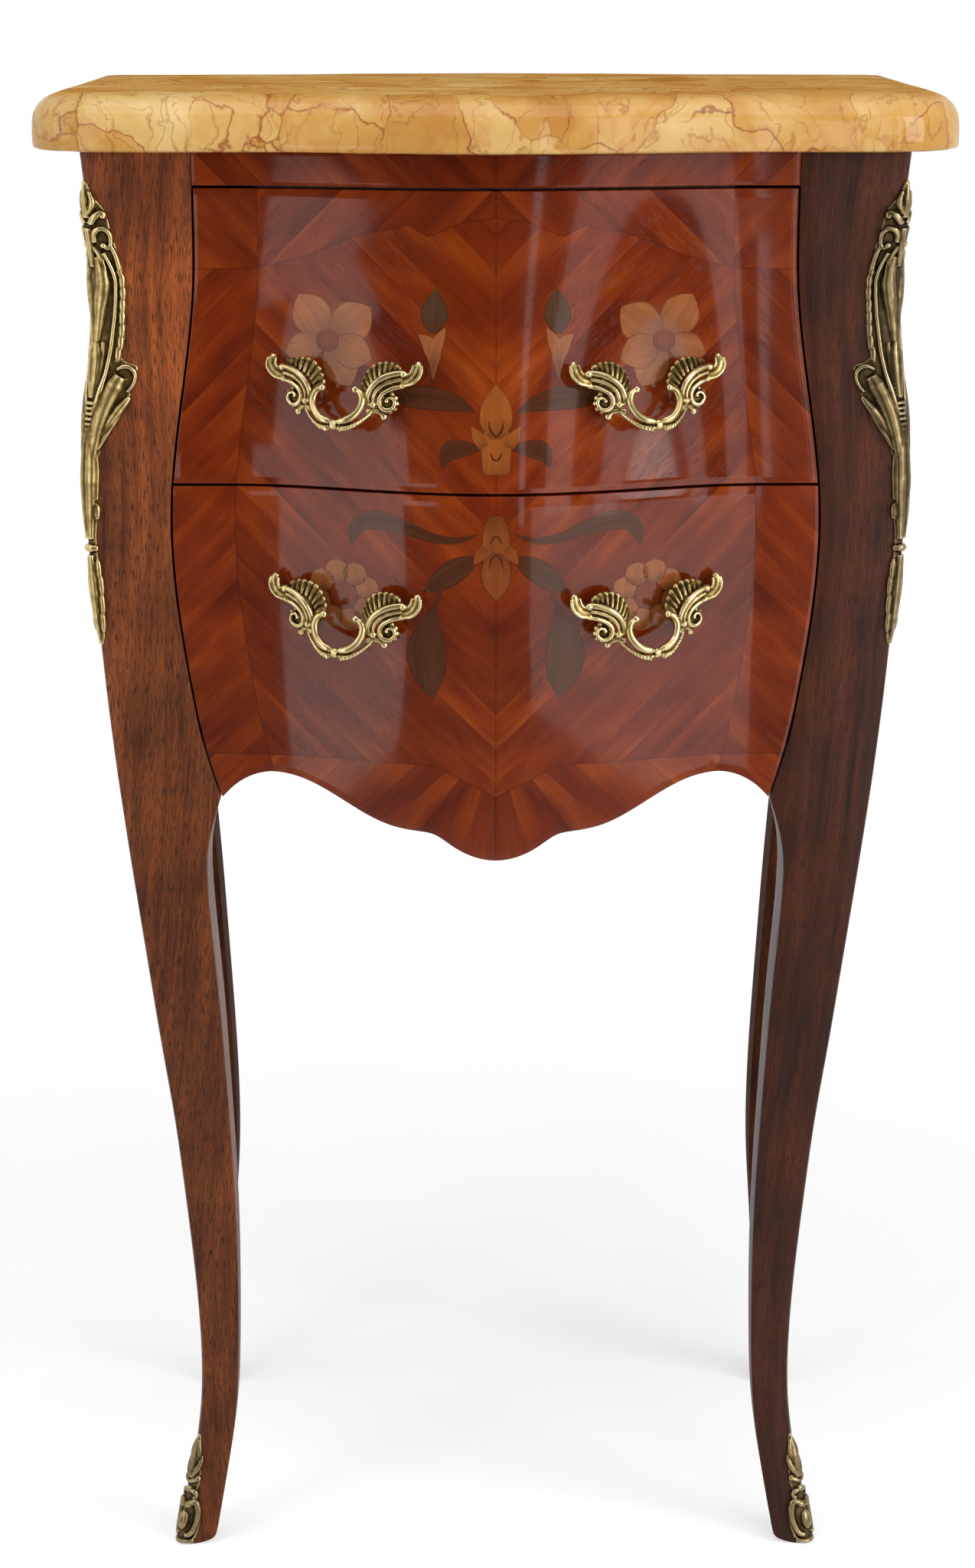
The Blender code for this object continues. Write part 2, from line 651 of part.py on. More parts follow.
def build_box(bay, drawer, plain):
    """Sides grooved for the bottom, a back standing on the bottom, and the bottom itself."""
    inner = BOX_HALF - SIDE_THICKNESS
    groove_high = bay.groove_low + BOTTOM_THICKNESS + 2 * JOINT_GAP
    profile = [(BOX_HALF, bay.box_low), (BOX_HALF, bay.box_high), (inner, bay.box_high), (inner, groove_high),
               (inner + GROOVE_DEPTH, groove_high), (inner + GROOVE_DEPTH, bay.groove_low),
               (inner, bay.groove_low), (inner, bay.box_low)]
    for side, word in ((-1, "left"), (1, "right")):
        board = prism([at(side * x, BOX_REAR, z) for x, z in profile],
                      lambda point: at(point.x, front_back(point.x) - JOINT_GAP, point.z))
        add_piece(f"{bay.word}_drawer_side_{word}", board, plain, drawer)
    half = inner - JOINT_GAP
    back = box((-half, half), (BOX_REAR, BOX_REAR + DRAWER_BACK_THICKNESS),
               (groove_high, bay.box_high - DRAWER_BACK_DROP))
    add_piece(f"{bay.word}_drawer_back", back, plain, drawer)
    half = inner + GROOVE_DEPTH - JOINT_GAP
    low = bay.groove_low + JOINT_GAP
    outline = [at(-half, BOX_REAR, low), at(half, BOX_REAR, low)]
    for share in reversed(even_columns(16)):
        outline.append(at(share * half, front_back(share * half) - JOINT_GAP, low))
    bottom = prism(outline, lambda point: Vector((point.x, point.y, low + BOTTOM_THICKNESS)))
    add_piece(f"{bay.word}_drawer_bottom", bottom, plain, drawer)


def rod(bm, points, radii):
    """Adds a tapering round bar along a smooth line of points."""
    curve = bpy.data.curves.new("rod", "CURVE")
    curve.dimensions = "3D"
    curve.bevel_depth = 1
    curve.bevel_resolution = 2
    curve.use_fill_caps = True
    spline = curve.splines.new("BEZIER")
    spline.resolution_u = 5
    spline.bezier_points.add(len(points) - 1)
    for bend, point, radius in zip(spline.bezier_points, points, radii):
        bend.co = point
        bend.radius = radius
        bend.handle_left_type = bend.handle_right_type = "AUTO"
    holder = bpy.data.objects.new("rod", curve)
    bpy.context.collection.objects.link(holder)
    bpy.context.view_layer.update()
    mesh = bpy.data.meshes.new_from_object(holder.evaluated_get(bpy.context.evaluated_depsgraph_get()))
    bm.from_mesh(mesh)
    bpy.data.objects.remove(holder)
    bpy.data.curves.remove(curve)
    bpy.data.meshes.remove(mesh)


def lump(bm, centre, radii, turn=0):
    """Adds an ellipsoid, turned about the depth axis."""
    place = Matrix.Translation(centre) @ Matrix.Rotation(turn, 4, "Y") @ Matrix.Diagonal((*radii, 1))
    bmesh.ops.create_icosphere(bm, subdivisions=3, radius=1, matrix=place)


def bar(bm, half, side):
    """Adds one of the pull's bars, listed for its right half."""
    rod(bm, mirror_x([at(*place[:3]) for place in half], side), [place[3] for place in half])


def pull_mesh():
    """Rococo pull: a shell, a C-scroll, a horn and a rosette at each end of a drooping bow."""
    bm = bmesh.new()
    middle = at(0, PULL_REACH, -PULL_DROP)
    half_bow = [at(*place[:3]) for place in PULL_BOW]
    radii = [place[3] for place in PULL_BOW]
    rod(bm, mirror_x(half_bow[::-1], -1) + [middle] + half_bow, radii[::-1] + radii[:1] + radii)
    lump(bm, middle, [PULL_KNOT_RADIUS] * 3)
    for side in (-1, 1):
        bar(bm, PULL_SCROLL, side)
        bar(bm, PULL_HORN, side)
        for place, radii_of_lump, turn in (PULL_SHELL, PULL_ROSETTE, PULL_BUD, PULL_CURL):
            lump(bm, mirror_x([at(*place)], side)[0], radii_of_lump, side * math.radians(turn))
        foot = Matrix.Translation(at(side * PULL_POST_SPAN / 2, PULL_POST_LENGTH / 2, 0))
        bmesh.ops.create_cone(bm, cap_ends=True, segments=20, radius1=PULL_POST_RADIUS,
                              radius2=PULL_POST_RADIUS, depth=PULL_POST_LENGTH,
                              matrix=foot @ Matrix.Rotation(math.pi / 2, 4, "X"))
    return cast(bm, "pull", PULL_FACETS)


def cast(bm, name, facets):
    """Fuses overlapping shapes into one skin, as a casting, and keeps about so many facets."""
    mesh = bpy.data.meshes.new(name)
    bm.to_mesh(mesh)
    bm.free()
    holder = bpy.data.objects.new(name, mesh)
    bpy.context.collection.objects.link(holder)
    fuse = holder.modifiers.new("fuse", "REMESH")
    fuse.mode = "VOXEL"
    fuse.voxel_size = CAST_VOXEL
    bpy.context.view_layer.update()
    fused = len(holder.evaluated_get(bpy.context.evaluated_depsgraph_get()).data.polygons)
    thin = holder.modifiers.new("thin", "DECIMATE")
    thin.ratio = facets / (2 * fused)
    bpy.context.view_layer.update()
    made = bpy.data.meshes.new_from_object(holder.evaluated_get(bpy.context.evaluated_depsgraph_get()))
    bpy.data.objects.remove(holder)
    bpy.data.meshes.remove(mesh)
    made.shade_smooth()
    return made


def on_front(x, z):
    return at(x, front_depth(x, z), z)


def build_pulls(word, z, tilt, drawer, mesh, brass):
    """Two pulls whose posts stand on the bowed front, with their outer ends tilted up."""
    along = PULL_POST_SPAN / 2 * math.cos(math.radians(tilt))
    rise = PULL_POST_SPAN / 2 * math.sin(math.radians(tilt))
    for side, place in ((-1, "left"), (1, "right")):
        middle = side * (INNER_LINE - PULL_FROM_POST)
        start, end = on_front(middle - along, z - side * rise), on_front(middle + along, z + side * rise)
        across = (end - start).normalized()
        up = (on_front(middle, z + along) - on_front(middle, z - along)).normalized()
        inward = up.cross(across).normalized()
        upright = across.cross(inward)
        pull = add_mesh(f"{word}_pull_{place}", mesh, brass, drawer)
        pull.matrix_local = (Matrix.Translation((start + end) / 2 - PULL_SEAT * inward)
                             @ Matrix((across, inward, upright)).transposed().to_4x4())


def corner_point(wrap, z, lift):
    """Point over the rounded outer corner of the right front leg, wrap metres round it from its middle."""
    radius = corner_radius(z)
    quarter = radius * math.pi / 4
    turn = math.pi / 4 * max(-1, min(1, wrap / quarter))
    along = max(0, abs(wrap) - quarter)
    angle = math.pi / 4 + turn
    x = leg_outer(z) - radius + (radius + lift) * math.sin(angle)
    depth = post_front(z) - radius + (radius + lift) * math.cos(angle)
    if wrap < 0:
        return at(x - along, depth, z)
    return at(x, depth - along, z)


def over_corner(wrap, z, lift):
    """The same over the facets that the leg is drawn with."""
    i = int(np.clip(np.searchsorted(LEG_HEIGHTS, z), 1, len(LEG_HEIGHTS) - 1))
    below, above = LEG_HEIGHTS[i - 1], LEG_HEIGHTS[i]
    start, end = corner_point(wrap, below, lift), corner_point(wrap, above, lift)
    return start.lerp(end, (z - below) / (above - below))


def corner_mount(low, length, outline, swelling, relief, edge):
    """Closed shell seated on the corner: relief high along its middle and edge high at its rims."""
    shares = [knot[0] for knot in outline]
    widths = [knot[1] for knot in outline]
    lift = smooth_curve(swelling)
    heights = {low + length * share for share in shares}
    heights |= {z for z in LEG_HEIGHTS if low < z < low + length}
    sections = []
    for z in sorted(heights):
        share = (z - low) / length
        quarter = corner_radius(z) * math.pi / 4
        rim = max(float(np.interp(share, shares, widths)), quarter + JOINT_GAP)
        seat = [-rim, -quarter, -quarter / 2, 0, quarter / 2, quarter, rim]
        section = [over_corner(wrap, z, JOINT_GAP) for wrap in seat]
        for wrap in stations(rim, -rim, steps=(MOUNT_FACETS,)):
            dome = math.sqrt(max(0, 1 - (wrap / rim) ** 2))
            section.append(over_corner(wrap, z, edge + relief * lift(share) * dome))
        sections.append(section)
    return sections


def build_mounts(root, brass):
    """Acanthus mounts down the front posts, and scrolled shoes over the outer corners of the front feet."""
    chute_low = CASE_HEIGHT - CHUTE_TOP_DROP - CHUTE_LENGTH
    chute = corner_mount(chute_low, CHUTE_LENGTH, CHUTE_OUTLINE, CHUTE_SWELL, CHUTE_RELIEF, CHUTE_EDGE)
    sabot = corner_mount(SABOT_LIFT, SABOT_HEIGHT - SABOT_LIFT, SABOT_OUTLINE, SABOT_SWELL,
                         SABOT_RELIEF, SABOT_EDGE)
    for side, word in ((-1, "left"), (1, "right")):
        add_piece(f"chute_{word}", loft([mirror_x(section, side) for section in chute]), brass, root)
        add_piece(f"sabot_{word}", loft([mirror_x(section, side) for section in sabot]), brass, root)


def centre_on_floor(root):
    """Moves the chest so that the middle of its depth lies on the X axis."""
    bpy.context.view_layer.update()
    depths = [(piece.matrix_world @ vert.co).y
              for piece in bpy.data.objects if piece.type == "MESH" for vert in piece.data.vertices]
    root.location.y = -(min(depths) + max(depths)) / 2


def main():
    for old in list(bpy.data.objects):
        bpy.data.objects.remove(old)
    marble = finish("marble", (0.58, 0.36, 0.13), 0.18)
    veneer = finish("veneer", (0.16, 0.028, 0.009), 0.15)
    wood = finish("polished_wood", (0.11, 0.030, 0.014), 0.25)
    plain = finish("drawer_wood", (0.42, 0.26, 0.13), 0.60)
    brass = finish("aged_brass", (0.50, 0.38, 0.14), 0.32, 1.0)

    root = add_empty("nightstand")
    upper = add_empty("upper_drawer", root)
    lower = add_empty("lower_drawer", root)
    build_slab(root, marble)
    build_legs(root, wood)
    build_front(root, upper, lower, veneer)
    build_sides(root, veneer)
    build_back(root, plain)

    lower_bay = Bay("lower", ARCH_HEIGHT, SEAM_HEIGHT)
    upper_bay = Bay("upper", SEAM_HEIGHT, FRIEZE_LINE)
    add_piece("bottom_board", build_runners(lower_bay, root, plain), plain, root)
    add_piece("dust_board", build_runners(upper_bay, root, plain), plain, root)
    build_kickers(upper_bay, root, plain)
    build_box(lower_bay, lower, plain)
    build_box(upper_bay, upper, plain)

    pull = pull_mesh()
    build_pulls("upper", SEAM_HEIGHT + UPPER_PULL_RISE, UPPER_PULL_TILT, upper, pull, brass)
    build_pulls("lower", ARCH_HEIGHT + LOWER_PULL_RISE, LOWER_PULL_TILT, lower, pull, brass)
    build_mounts(root, brass)
    centre_on_floor(root)


main()
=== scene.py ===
# %% [markdown]
# # A nightstand with a bowed front
# The real piece is a small two-drawer chest: a marble slab on a case that swells to the front and the sides, tulipwood
# veneer laid in V-shaped strips, flowers cut from other woods, and cast gilt mounts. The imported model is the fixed
# frame: every new piece rides on one of its bodies, and most stand for the plain solid below them.

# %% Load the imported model
import math

import bmesh
import bpy
import numpy as np
from mathutils import Matrix, Vector
from mathutils.bvhtree import BVHTree


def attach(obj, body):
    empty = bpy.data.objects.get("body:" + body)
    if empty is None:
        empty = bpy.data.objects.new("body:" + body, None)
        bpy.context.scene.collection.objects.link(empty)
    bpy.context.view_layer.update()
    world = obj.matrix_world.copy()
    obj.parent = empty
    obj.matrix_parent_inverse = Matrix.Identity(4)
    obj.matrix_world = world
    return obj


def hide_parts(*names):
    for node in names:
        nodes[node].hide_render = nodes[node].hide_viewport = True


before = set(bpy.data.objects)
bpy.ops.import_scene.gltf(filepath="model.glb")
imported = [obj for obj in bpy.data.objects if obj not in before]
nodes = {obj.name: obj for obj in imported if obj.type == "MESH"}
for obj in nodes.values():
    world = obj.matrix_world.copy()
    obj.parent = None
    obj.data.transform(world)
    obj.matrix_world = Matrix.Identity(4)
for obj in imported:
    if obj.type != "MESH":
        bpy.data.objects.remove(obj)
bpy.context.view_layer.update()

scene = bpy.context.scene
scene.view_settings.view_transform = "Standard"


def shown(name, data):
    """A new object in the scene."""
    made = bpy.data.objects.new(name, data)
    scene.collection.objects.link(made)
    return made


# %% [markdown]
# ## Camera
# The picture was taken from just above the slab, straight in front, with a long lens, so upright edges stay nearly
# parallel. The place and the lens were found by matching seams, legs and feet of the solids to the picture.

# %% Place the camera
PHOTO_HEIGHT, FOCAL_PIXELS = 2048, 4758
CAMERA_PLACE = (-0.0097, -1.9168, 0.8496)
LOOKS_DOWN, LOOKS_ASIDE = 13.21, -0.18  # degrees
camera = shown("camera", bpy.data.cameras.new("camera"))
camera.location = CAMERA_PLACE
camera.rotation_euler = (math.radians(90 - LOOKS_DOWN), 0, math.radians(LOOKS_ASIDE))
camera.data.sensor_width = 36
camera.data.lens = FOCAL_PIXELS / PHOTO_HEIGHT * camera.data.sensor_width
scene.camera = camera
print("lens", round(camera.data.lens, 1), "mm")

# %% [markdown]
# ## Node helpers
# Every finish here is a node tree. A Wire stands for one output of a node, and plain arithmetic with it makes Math
# nodes, so that the trees below read like sums. Colours are written as three 8-bit screen values.

# %% Wires between nodes
class Wire:
    """One output of a node, to reckon with."""

    def __init__(self, socket):
        self.socket, self.tree = socket, socket.id_data

    def beside(self, key):
        """Another output of the same node."""
        return Wire(self.socket.node.outputs[key])


def fill(socket, value):
    """A link from a Wire, or else a plain value."""
    if isinstance(value, Wire):
        value.tree.links.new(value.socket, socket)
    else:
        socket.default_value = value


def add(tree, kind, sockets=(), out=0, **settings):
    """One output of a new node, with its settings made first and its sockets then filled, by name or in order."""
    made = tree.nodes.new("ShaderNode" + kind)
    for name, value in settings.items():
        setattr(made, name, value)
    for key, value in sockets.items() if isinstance(sockets, dict) else enumerate(sockets):
        fill(made.inputs[key], value)
    return Wire(made.outputs[out])


def tree_of(*values):
    """The tree that the Wires among some values belong to."""
    return next(value.tree for value in values if isinstance(value, Wire))


def calc(operation, *values):
    """The result of a Math node."""
    return add(tree_of(*values), "Math", values, operation=operation)


SIGNS = {
    "add": "ADD", "sub": "SUBTRACT", "mul": "MULTIPLY", "lt": "LESS_THAN", "gt": "GREATER_THAN", "abs": "ABSOLUTE",
}
for sign, operation in SIGNS.items():
    setattr(Wire, f"__{sign}__", lambda *values, operation=operation: calc(operation, *values))
Wire.__rsub__ = lambda wire, number: calc("SUBTRACT", number, wire)


def most(first, second):
    """The greater of two."""
    return calc("MAXIMUM", first, second)


def scaled(value, low, high, start=0.0, end=1.0, kind="LINEAR"):
    """A change from start to end while the value goes from low to high."""
    return add(value.tree, "MapRange", (value, low, high, start, end), interpolation_type=kind)


def stepped(*change):
    """The same change with a soft start and end."""
    return scaled(*change, kind="SMOOTHSTEP")


print("wires ready")

# %% Helpers for finishes
def colour(shade):
    """Three 8-bit screen values as the linear colour that a shader takes; anything else stays as it is."""
    if not isinstance(shade, tuple) or len(shade) != 3:
        return shade
    shares = [part / 255 for part in shade]
    return (*(part / 12.92 if part <= 0.04045 else ((part + 0.055) / 1.055) ** 2.4 for part in shares), 1)


def blend(share, first, second, kind="MIX"):
    """Two colours mixed by a share."""
    sockets = {0: share, 6: colour(first), 7: colour(second)}  # the factor and the colours of the Mix node
    return add(tree_of(share, first, second), "Mix", sockets, 2, data_type="RGBA", blend_type=kind)


def times(first, second):
    """A colour made darker or lighter by a colour or a number."""
    return blend(1.0, first, second, "MULTIPLY")


def ramp(share, *stops):
    """A colour ramp through stops, each a place and a colour, from place 0 on."""
    made = add(share.tree, "ValToRGB", [share])
    band = made.socket.node.color_ramp.elements
    band.remove(band[1])
    band[0].color = colour(stops[0][1])
    for place, shade in stops[1:]:
        band.new(place).color = colour(shade)
    return made


def noise(place, scale, detail, rough=0.5, out="Fac"):
    """Soft noise."""
    return add(place.tree, "TexNoise", {"Vector": place, "Scale": scale, "Detail": detail, "Roughness": rough}, out)


def axes(place):
    """Across, back and up."""
    first = add(place.tree, "SeparateXYZ", [place])
    return [first.beside(key) for key in "XYZ"]


def noted(place, name):
    """A number that is kept on the mesh."""
    return add(place.tree, "Attribute", out="Fac", attribute_name=name)


def bumps(height, distance, strength):
    """The normal of a surface that has small heights."""
    return add(height.tree, "Bump", {"Height": height, "Distance": distance, "Strength": strength})


def group(name, takes, gives):
    """A shader node group with named sockets: its tree, what comes in, and where the results go."""
    tree = bpy.data.node_groups.new(name, "ShaderNodeTree")
    kinds = {"Place": "Vector", "Color": "Color"}
    for way, labels in (("INPUT", takes), ("OUTPUT", gives)):
        for label in labels.split():
            tree.interface.new_socket(label, in_out=way, socket_type="NodeSocket" + kinds.get(label, "Float"))
    start = tree.nodes.new("NodeGroupInput").outputs
    return tree, [Wire(start[label]) for label in takes.split()], tree.nodes.new("NodeGroupOutput").inputs


def feed(ends, **values):
    """The named sockets of a shader or a group, filled."""
    for key, value in values.items():
        fill(ends[key.replace("_", " ").title().replace("Ior", "IOR")], value)


def finish(name, **shine):
    """A new material, the sockets of its Principled shader with plain values set, and its Object coordinates."""
    made = bpy.data.materials.new(name)
    made.use_nodes = True
    shader = made.node_tree.nodes["Principled BSDF"].inputs
    feed(shader, **shine)
    return made, shader, add(made.node_tree, "TexCoord", out="Object")


print("finish helpers ready")

# %% [markdown]
# ## Floor, world and lamps
# The floor is plain and pale, and the backdrop white: both glow a little where the camera, the polish or the brass
# looks at them. For the polish and the brass the glow fades towards the front, where the room is dim: that keeps the
# dark polish from looking grey. Tall soft boxes stand close in front, left and right, down to the floor: the swelling
# front draws them out into the upright bands that the picture shows. A wide soft lamp overhead lights the slab.

# %% Floor and world
FLOOR_SIDE = 14
WORLD_LIGHT, ROOM_LIGHT = 0.31, 0.12
WHITE = (1, 1, 1, 1)


def meshed(bm, name):
    """A bmesh turned into a mesh."""
    mesh = bpy.data.meshes.new(name)
    bm.to_mesh(mesh)
    bm.free()
    return mesh


def seen_directly(tree):
    """1 for camera, mirror and glass rays and 0 for the light that bounces about; then camera rays alone."""
    camera_ray = add(tree, "LightPath", out="Is Camera Ray")
    either = most(camera_ray, camera_ray.beside("Is Glossy Ray"))
    return most(either, camera_ray.beside("Is Transmission Ray")), camera_ray


bm = bmesh.new()
bmesh.ops.create_grid(bm, x_segments=1, y_segments=1, size=FLOOR_SIDE / 2)
floor = shown("floor", meshed(bm, "floor"))

paper, shader, place = finish("floor_paper", roughness=0.9, specular_ior_level=0, emission_color=WHITE)
near = stepped(axes(place)[1], -0.75, -0.2)
feed(shader, base_color=near * (noise(place, 3, 2) * 0.03 + 0.14) + 0.36)
away = add(place.tree, "VectorMath", [place], "Value", operation="LENGTH")
seen, camera_ray = seen_directly(place.tree)
feed(shader, emission_strength=seen * stepped(away, 0.4, 2.2, 0.60, 0.92) * most(near, camera_ray))
floor.data.materials.append(paper)

world = bpy.data.worlds.new("studio")
world.use_nodes = True
scene.world = world
heading = axes(add(world.node_tree, "TexCoord", out="Generated"))[1]
backdrop = stepped(heading, -0.35, 0.35, ROOM_LIGHT - WORLD_LIGHT, 1 - WORLD_LIGHT)
seen, camera_ray = seen_directly(world.node_tree)
backdrop = camera_ray * (1 - WORLD_LIGHT - backdrop) + backdrop
feed(world.node_tree.nodes["Background"].inputs, color=WHITE, strength=seen * backdrop + WORLD_LIGHT)
print("floor and world ready")

# %% Lamps
FRONT_AT = -0.18


def lamp(name, place, target, size, power):
    """A rectangular soft box that looks at a target."""
    light = bpy.data.lights.new(name, "AREA")
    light.shape = "RECTANGLE"
    light.size, light.size_y = size
    light.energy = power
    made = shown(name, light)
    made.location = place
    made.rotation_euler = (Vector(target) - Vector(place)).to_track_quat("-Z", "Y").to_euler()
    made.visible_camera = False


def window(name, start_x, turns, radiance, low=0.0, high=1.3, away=0.78):
    """An upright soft box that a place on the front sees between two angles from straight ahead."""
    turn, half = math.radians(sum(turns) / 2), math.radians(abs(turns[1] - turns[0]) / 2)
    start = Vector((start_x, FRONT_AT, (low + high) / 2))
    place = start + away * Vector((math.sin(turn), -math.cos(turn), 0))
    across = 2 * away * math.tan(half)
    lamp(name, place, start, (across, high - low), radiance * math.pi * across * (high - low))


lamp("overhead", (-0.2, -0.7, 2.6), (0, 0, 0.5), (2.4, 1.8), 26)
window("left_window", -0.075, (-60, -39), 2.2)
window("left_sill", -0.075, (-39, -24), 2.1, 0.46, 0.60)
window("left_ledge", -0.075, (-39, -35), 2.1, 0.60, 0.72)
window("right_line", 0.026, (11, 13.5), 2.9, 0.28, away=1.5)
window("right_low", 0.072, (14, 60), 1.9, 0.0, 0.46)
window("right_window", 0.130, (16.5, 28), 2.3, 0.43)
window("right_slit", 0.072, (41.5, 46.5), 2.6, 0.43)
lamp("left_fill", (-2.4, -0.6, 1.3), (0, -0.15, 0.5), (1.2, 1.6), 10)
lamp("right_fill", (1.9, -1.3, 1.15), (0, -0.15, 0.5), (1.0, 1.4), 27)
print("lamps ready")

# %% [markdown]
# ## Wood grain, once for all woods
# Sawn wood shows long streaks that follow the grain, and fine dark pores. Both are noise that is stretched along one
# direction, so one group makes them from a point given as (along, across, board), and each wood colours them its way.

# %% Grain group
def stretched(along, across, board, long_scale, cross_scale, detail=3):
    """Noise drawn out along the grain."""
    point = add(along.tree, "CombineXYZ", (along * long_scale, across * cross_scale, board))
    return noise(point, 1, detail, 0.6)


grain_tree, (along, across, board, wander), out = group("wood_grain", "Along Across Board Wander", "Streak Pore")
board = board * 7.31
across = across + (stretched(along, across, board, 22, 30, 1) - 0.5) * wander
wide = stretched(along, across, board, 9, 210, 4)
fine = stretched(along, across, board, 26, 900, 2)
pore = scaled(stretched(along, across, board, 170, 1900, 1), 0.60, 0.72)
feed(out, streak=wide * 0.68 + fine * 0.32, pore=pore)


def grain(along, across, board, wander=0.004):
    """The grain group placed in a material: its streak and pore outputs."""
    streak = add(along.tree, "Group", (along, across, board, wander), node_tree=grain_tree)
    return streak, streak.beside("Pore")


print("grain group:", len(grain_tree.nodes), "nodes")

# %% [markdown]
# ## Old polish, once for all polished woods
# Shellac is glossy but never quite even: rubbed places are duller, and dust stays in the pores. The group turns a
# place and the pores into a roughness, a height for a Bump node and a share of coat.

# %% Polish group
polish_tree, (place, pore, base), out = group("old_polish", "Place Pore Base", "Roughness Height Coat")
cloud = noise(place, 14, 3)
height = pore * -0.35 + noise(place, 45, 1) * 0.5
feed(out, roughness=pore * 0.10 + (cloud * 0.08 + base), height=height, coat=cloud * -0.2 + 0.24)


def polish(shader, place, pore, base, depth=0.00008, coated=True):
    """The polish group wired to a shader."""
    rough = add(place.tree, "Group", (place, pore, base), node_tree=polish_tree)
    feed(shader, roughness=rough, normal=bumps(rough.beside("Height"), depth, 0.6))
    if coated:
        feed(shader, coat_weight=rough.beside("Coat"))


print("polish group:", len(polish_tree.nodes), "nodes")

# %% [markdown]
# ## Veneer laid in strips
# The fronts are covered with narrow strips of tulipwood at 45 degrees, opened like a book at the middle, so that they
# meet in a V. Side bands and the field above the crest line run the other way; under the V the strips fan out, and run
# side by side again further out. Each strip is its own slice of wood, so its number shifts the grain and the tone.
# Where the fields meet is kept as attributes on the mesh, because those lines follow the shaped edges.

# %% Strip group
STRIP_WIDTH = 0.0128
strip_tree, (along, across, field), out = group("veneer_strips", "Along Across Field", "Color Pore")
lane = field * 13.37 + calc("DIVIDE", across, STRIP_WIDTH)
number = calc("FLOOR", lane)
tone = add(strip_tree, "TexWhiteNoise", {"W": number}, "Value", noise_dimensions="1D")
streak, pore = grain(along, across, number)
joint = scaled(abs(calc("FRACT", lane) - 0.5), 0.485, 0.5)
light = tone * 0.26 + (streak * 0.60 + (stretched(along, across, number, 17, 46, 2) * 1.22 - 0.53))
tulipwood = ramp(
    light, (0.0, (66, 17, 4)), (0.30, (92, 29, 6)), (0.52, (110, 39, 8)), (0.75, (131, 54, 12)), (1.0, (158, 78, 24))
)
tulipwood = blend(pore * 0.3, tulipwood, (44, 14, 7))
feed(out, color=blend(joint * 0.16, tulipwood, (38, 12, 6)), pore=pore)
print("strip group:", len(strip_tree.nodes), "nodes")

# %% Veneer for the fronts and the sides
BAND_WIDTH = 0.031
FAN_APEX, FAN_SLOPE, FAN_REACH, FAN_RISE = 0.4268, 0.53, 0.0165, 0.035
FAN_SPREAD = 0.065
SIDE_CENTRE = 0.0183
DIAGONAL = math.sqrt(0.5)
ACROSS, BACK, UP = range(3)


def veneer(name, side_axis, centre=0.0, level=1.0, coated=True):
    """French-polished strips, opened like a book about the middle of the side axis."""
    made, shader, place = finish(name, coat_roughness=0.05, specular_ior_level=0.2)
    point = axes(place)
    side, rise = abs(point[side_axis] - centre), point[UP]
    edge, crest = noted(place, "edge"), noted(place, "crest")
    band, above = edge < BAND_WIDTH, crest > 0
    way = side * (abs(band - above) * -2 + 1)
    along, across = (rise + way) * DIAGONAL, (rise - way) * DIAGONAL
    fall = FAN_APEX - rise
    brim = calc("MINIMUM", side * FAN_SLOPE, FAN_REACH) + fall
    fan, under = brim > 0, fall + FAN_RISE
    opened = calc("MINIMUM", calc("ARCTAN2", side, under), math.pi / 4)
    spread = opened * FAN_SPREAD + most(side - under, 0) * DIAGONAL
    along = along + fan * ((side + under) * DIAGONAL - along)
    across = across + fan * (spread - across)
    field = band + (above * 2 + fan * 5)
    strips = add(place.tree, "Group", (along, across, field), node_tree=strip_tree)
    line = 0.0
    for gap in (side, edge - BAND_WIDTH, crest, brim):
        line = most(scaled(abs(gap), 0.00012, 0.00045, 1, 0), line)
    wood = blend(line * 0.42, strips, (36, 12, 6))
    # Random blotches of tone, all scaled by level; a level below 1 paints shade.
    cloud = scaled(noise(place, 11, 2), 0.3, 0.7, 0.8 * level, 1.15 * level)
    feed(shader, base_color=times(wood, cloud))
    polish(shader, place, strips.beside("Pore"), 0.05, coated=coated)
    return made


front_veneer = veneer("tulipwood_front", ACROSS)
# The frieze is painted a little darker (level 0.97), a painted shade under the slab; it has no coat.
frieze_painted_shade_veneer = veneer("tulipwood_frieze_painted_shade", ACROSS, level=0.97, coated=False)
side_veneer = veneer("tulipwood_side", BACK, SIDE_CENTRE)
print("veneer:", len(front_veneer.node_tree.nodes), "nodes")

# %% [markdown]
# ## Legs and posts
# The legs are solid mahogany, so the grain simply runs up each leg, with long streaks and many short dark pores. The
# front legs have a satin polish. The head of the left one has a warm inner streak. The right one is painted darker, as
# painted shade; the rear legs were only oiled, and are painted darker still, also as painted shade. Every leg has
# painted
# shading as well: lighter at the head, darker towards the foot.

# %% Leg wood
WARM_TINT = (1.50, 1.40, 1.15, 1)


def leg_wood(name, rough, level, dark, light, warm=0.0):
    """Mahogany with upright grain, between a dark and a light tone; the head can have a warm inner streak."""
    made, shader, place = finish(name, specular_ior_level=level)
    x, y, z = axes(place)
    flat = x + y * 0.83
    streak, pore = grain(z, flat, 2.0, 0.006)
    cloud = noise(place, 26, 4)
    tone = stretched(z, flat, 7.0, 12, 120) * 1.3 + (streak * 1.9 + (cloud - 1.60))
    dots = scaled(stretched(z, flat, 4.0, 150, 1500, 1), 0.52, 0.66)
    wood = blend(dots * 0.8, blend(tone, dark, light), (40, 18, 9))
    # Painted shading: the wood is made lighter at the head of the leg and darker towards the foot.
    wood = times(wood, stepped(z, 0.1, 0.72, 0.84, 1.16))
    inner = stepped(cloud * 0.03 + x, -0.182, -0.158) * stepped(z, 0.52, 0.70, 0.0, warm)
    feed(shader, base_color=blend(inner, wood, times(wood, WARM_TINT)))
    polish(shader, place, most(pore, dots), rough, 0.00012, False)
    return made


left_leg_wood = leg_wood("left_leg_mahogany", 0.40, 0.2, (58, 25, 11), (132, 69, 32), 1.0)
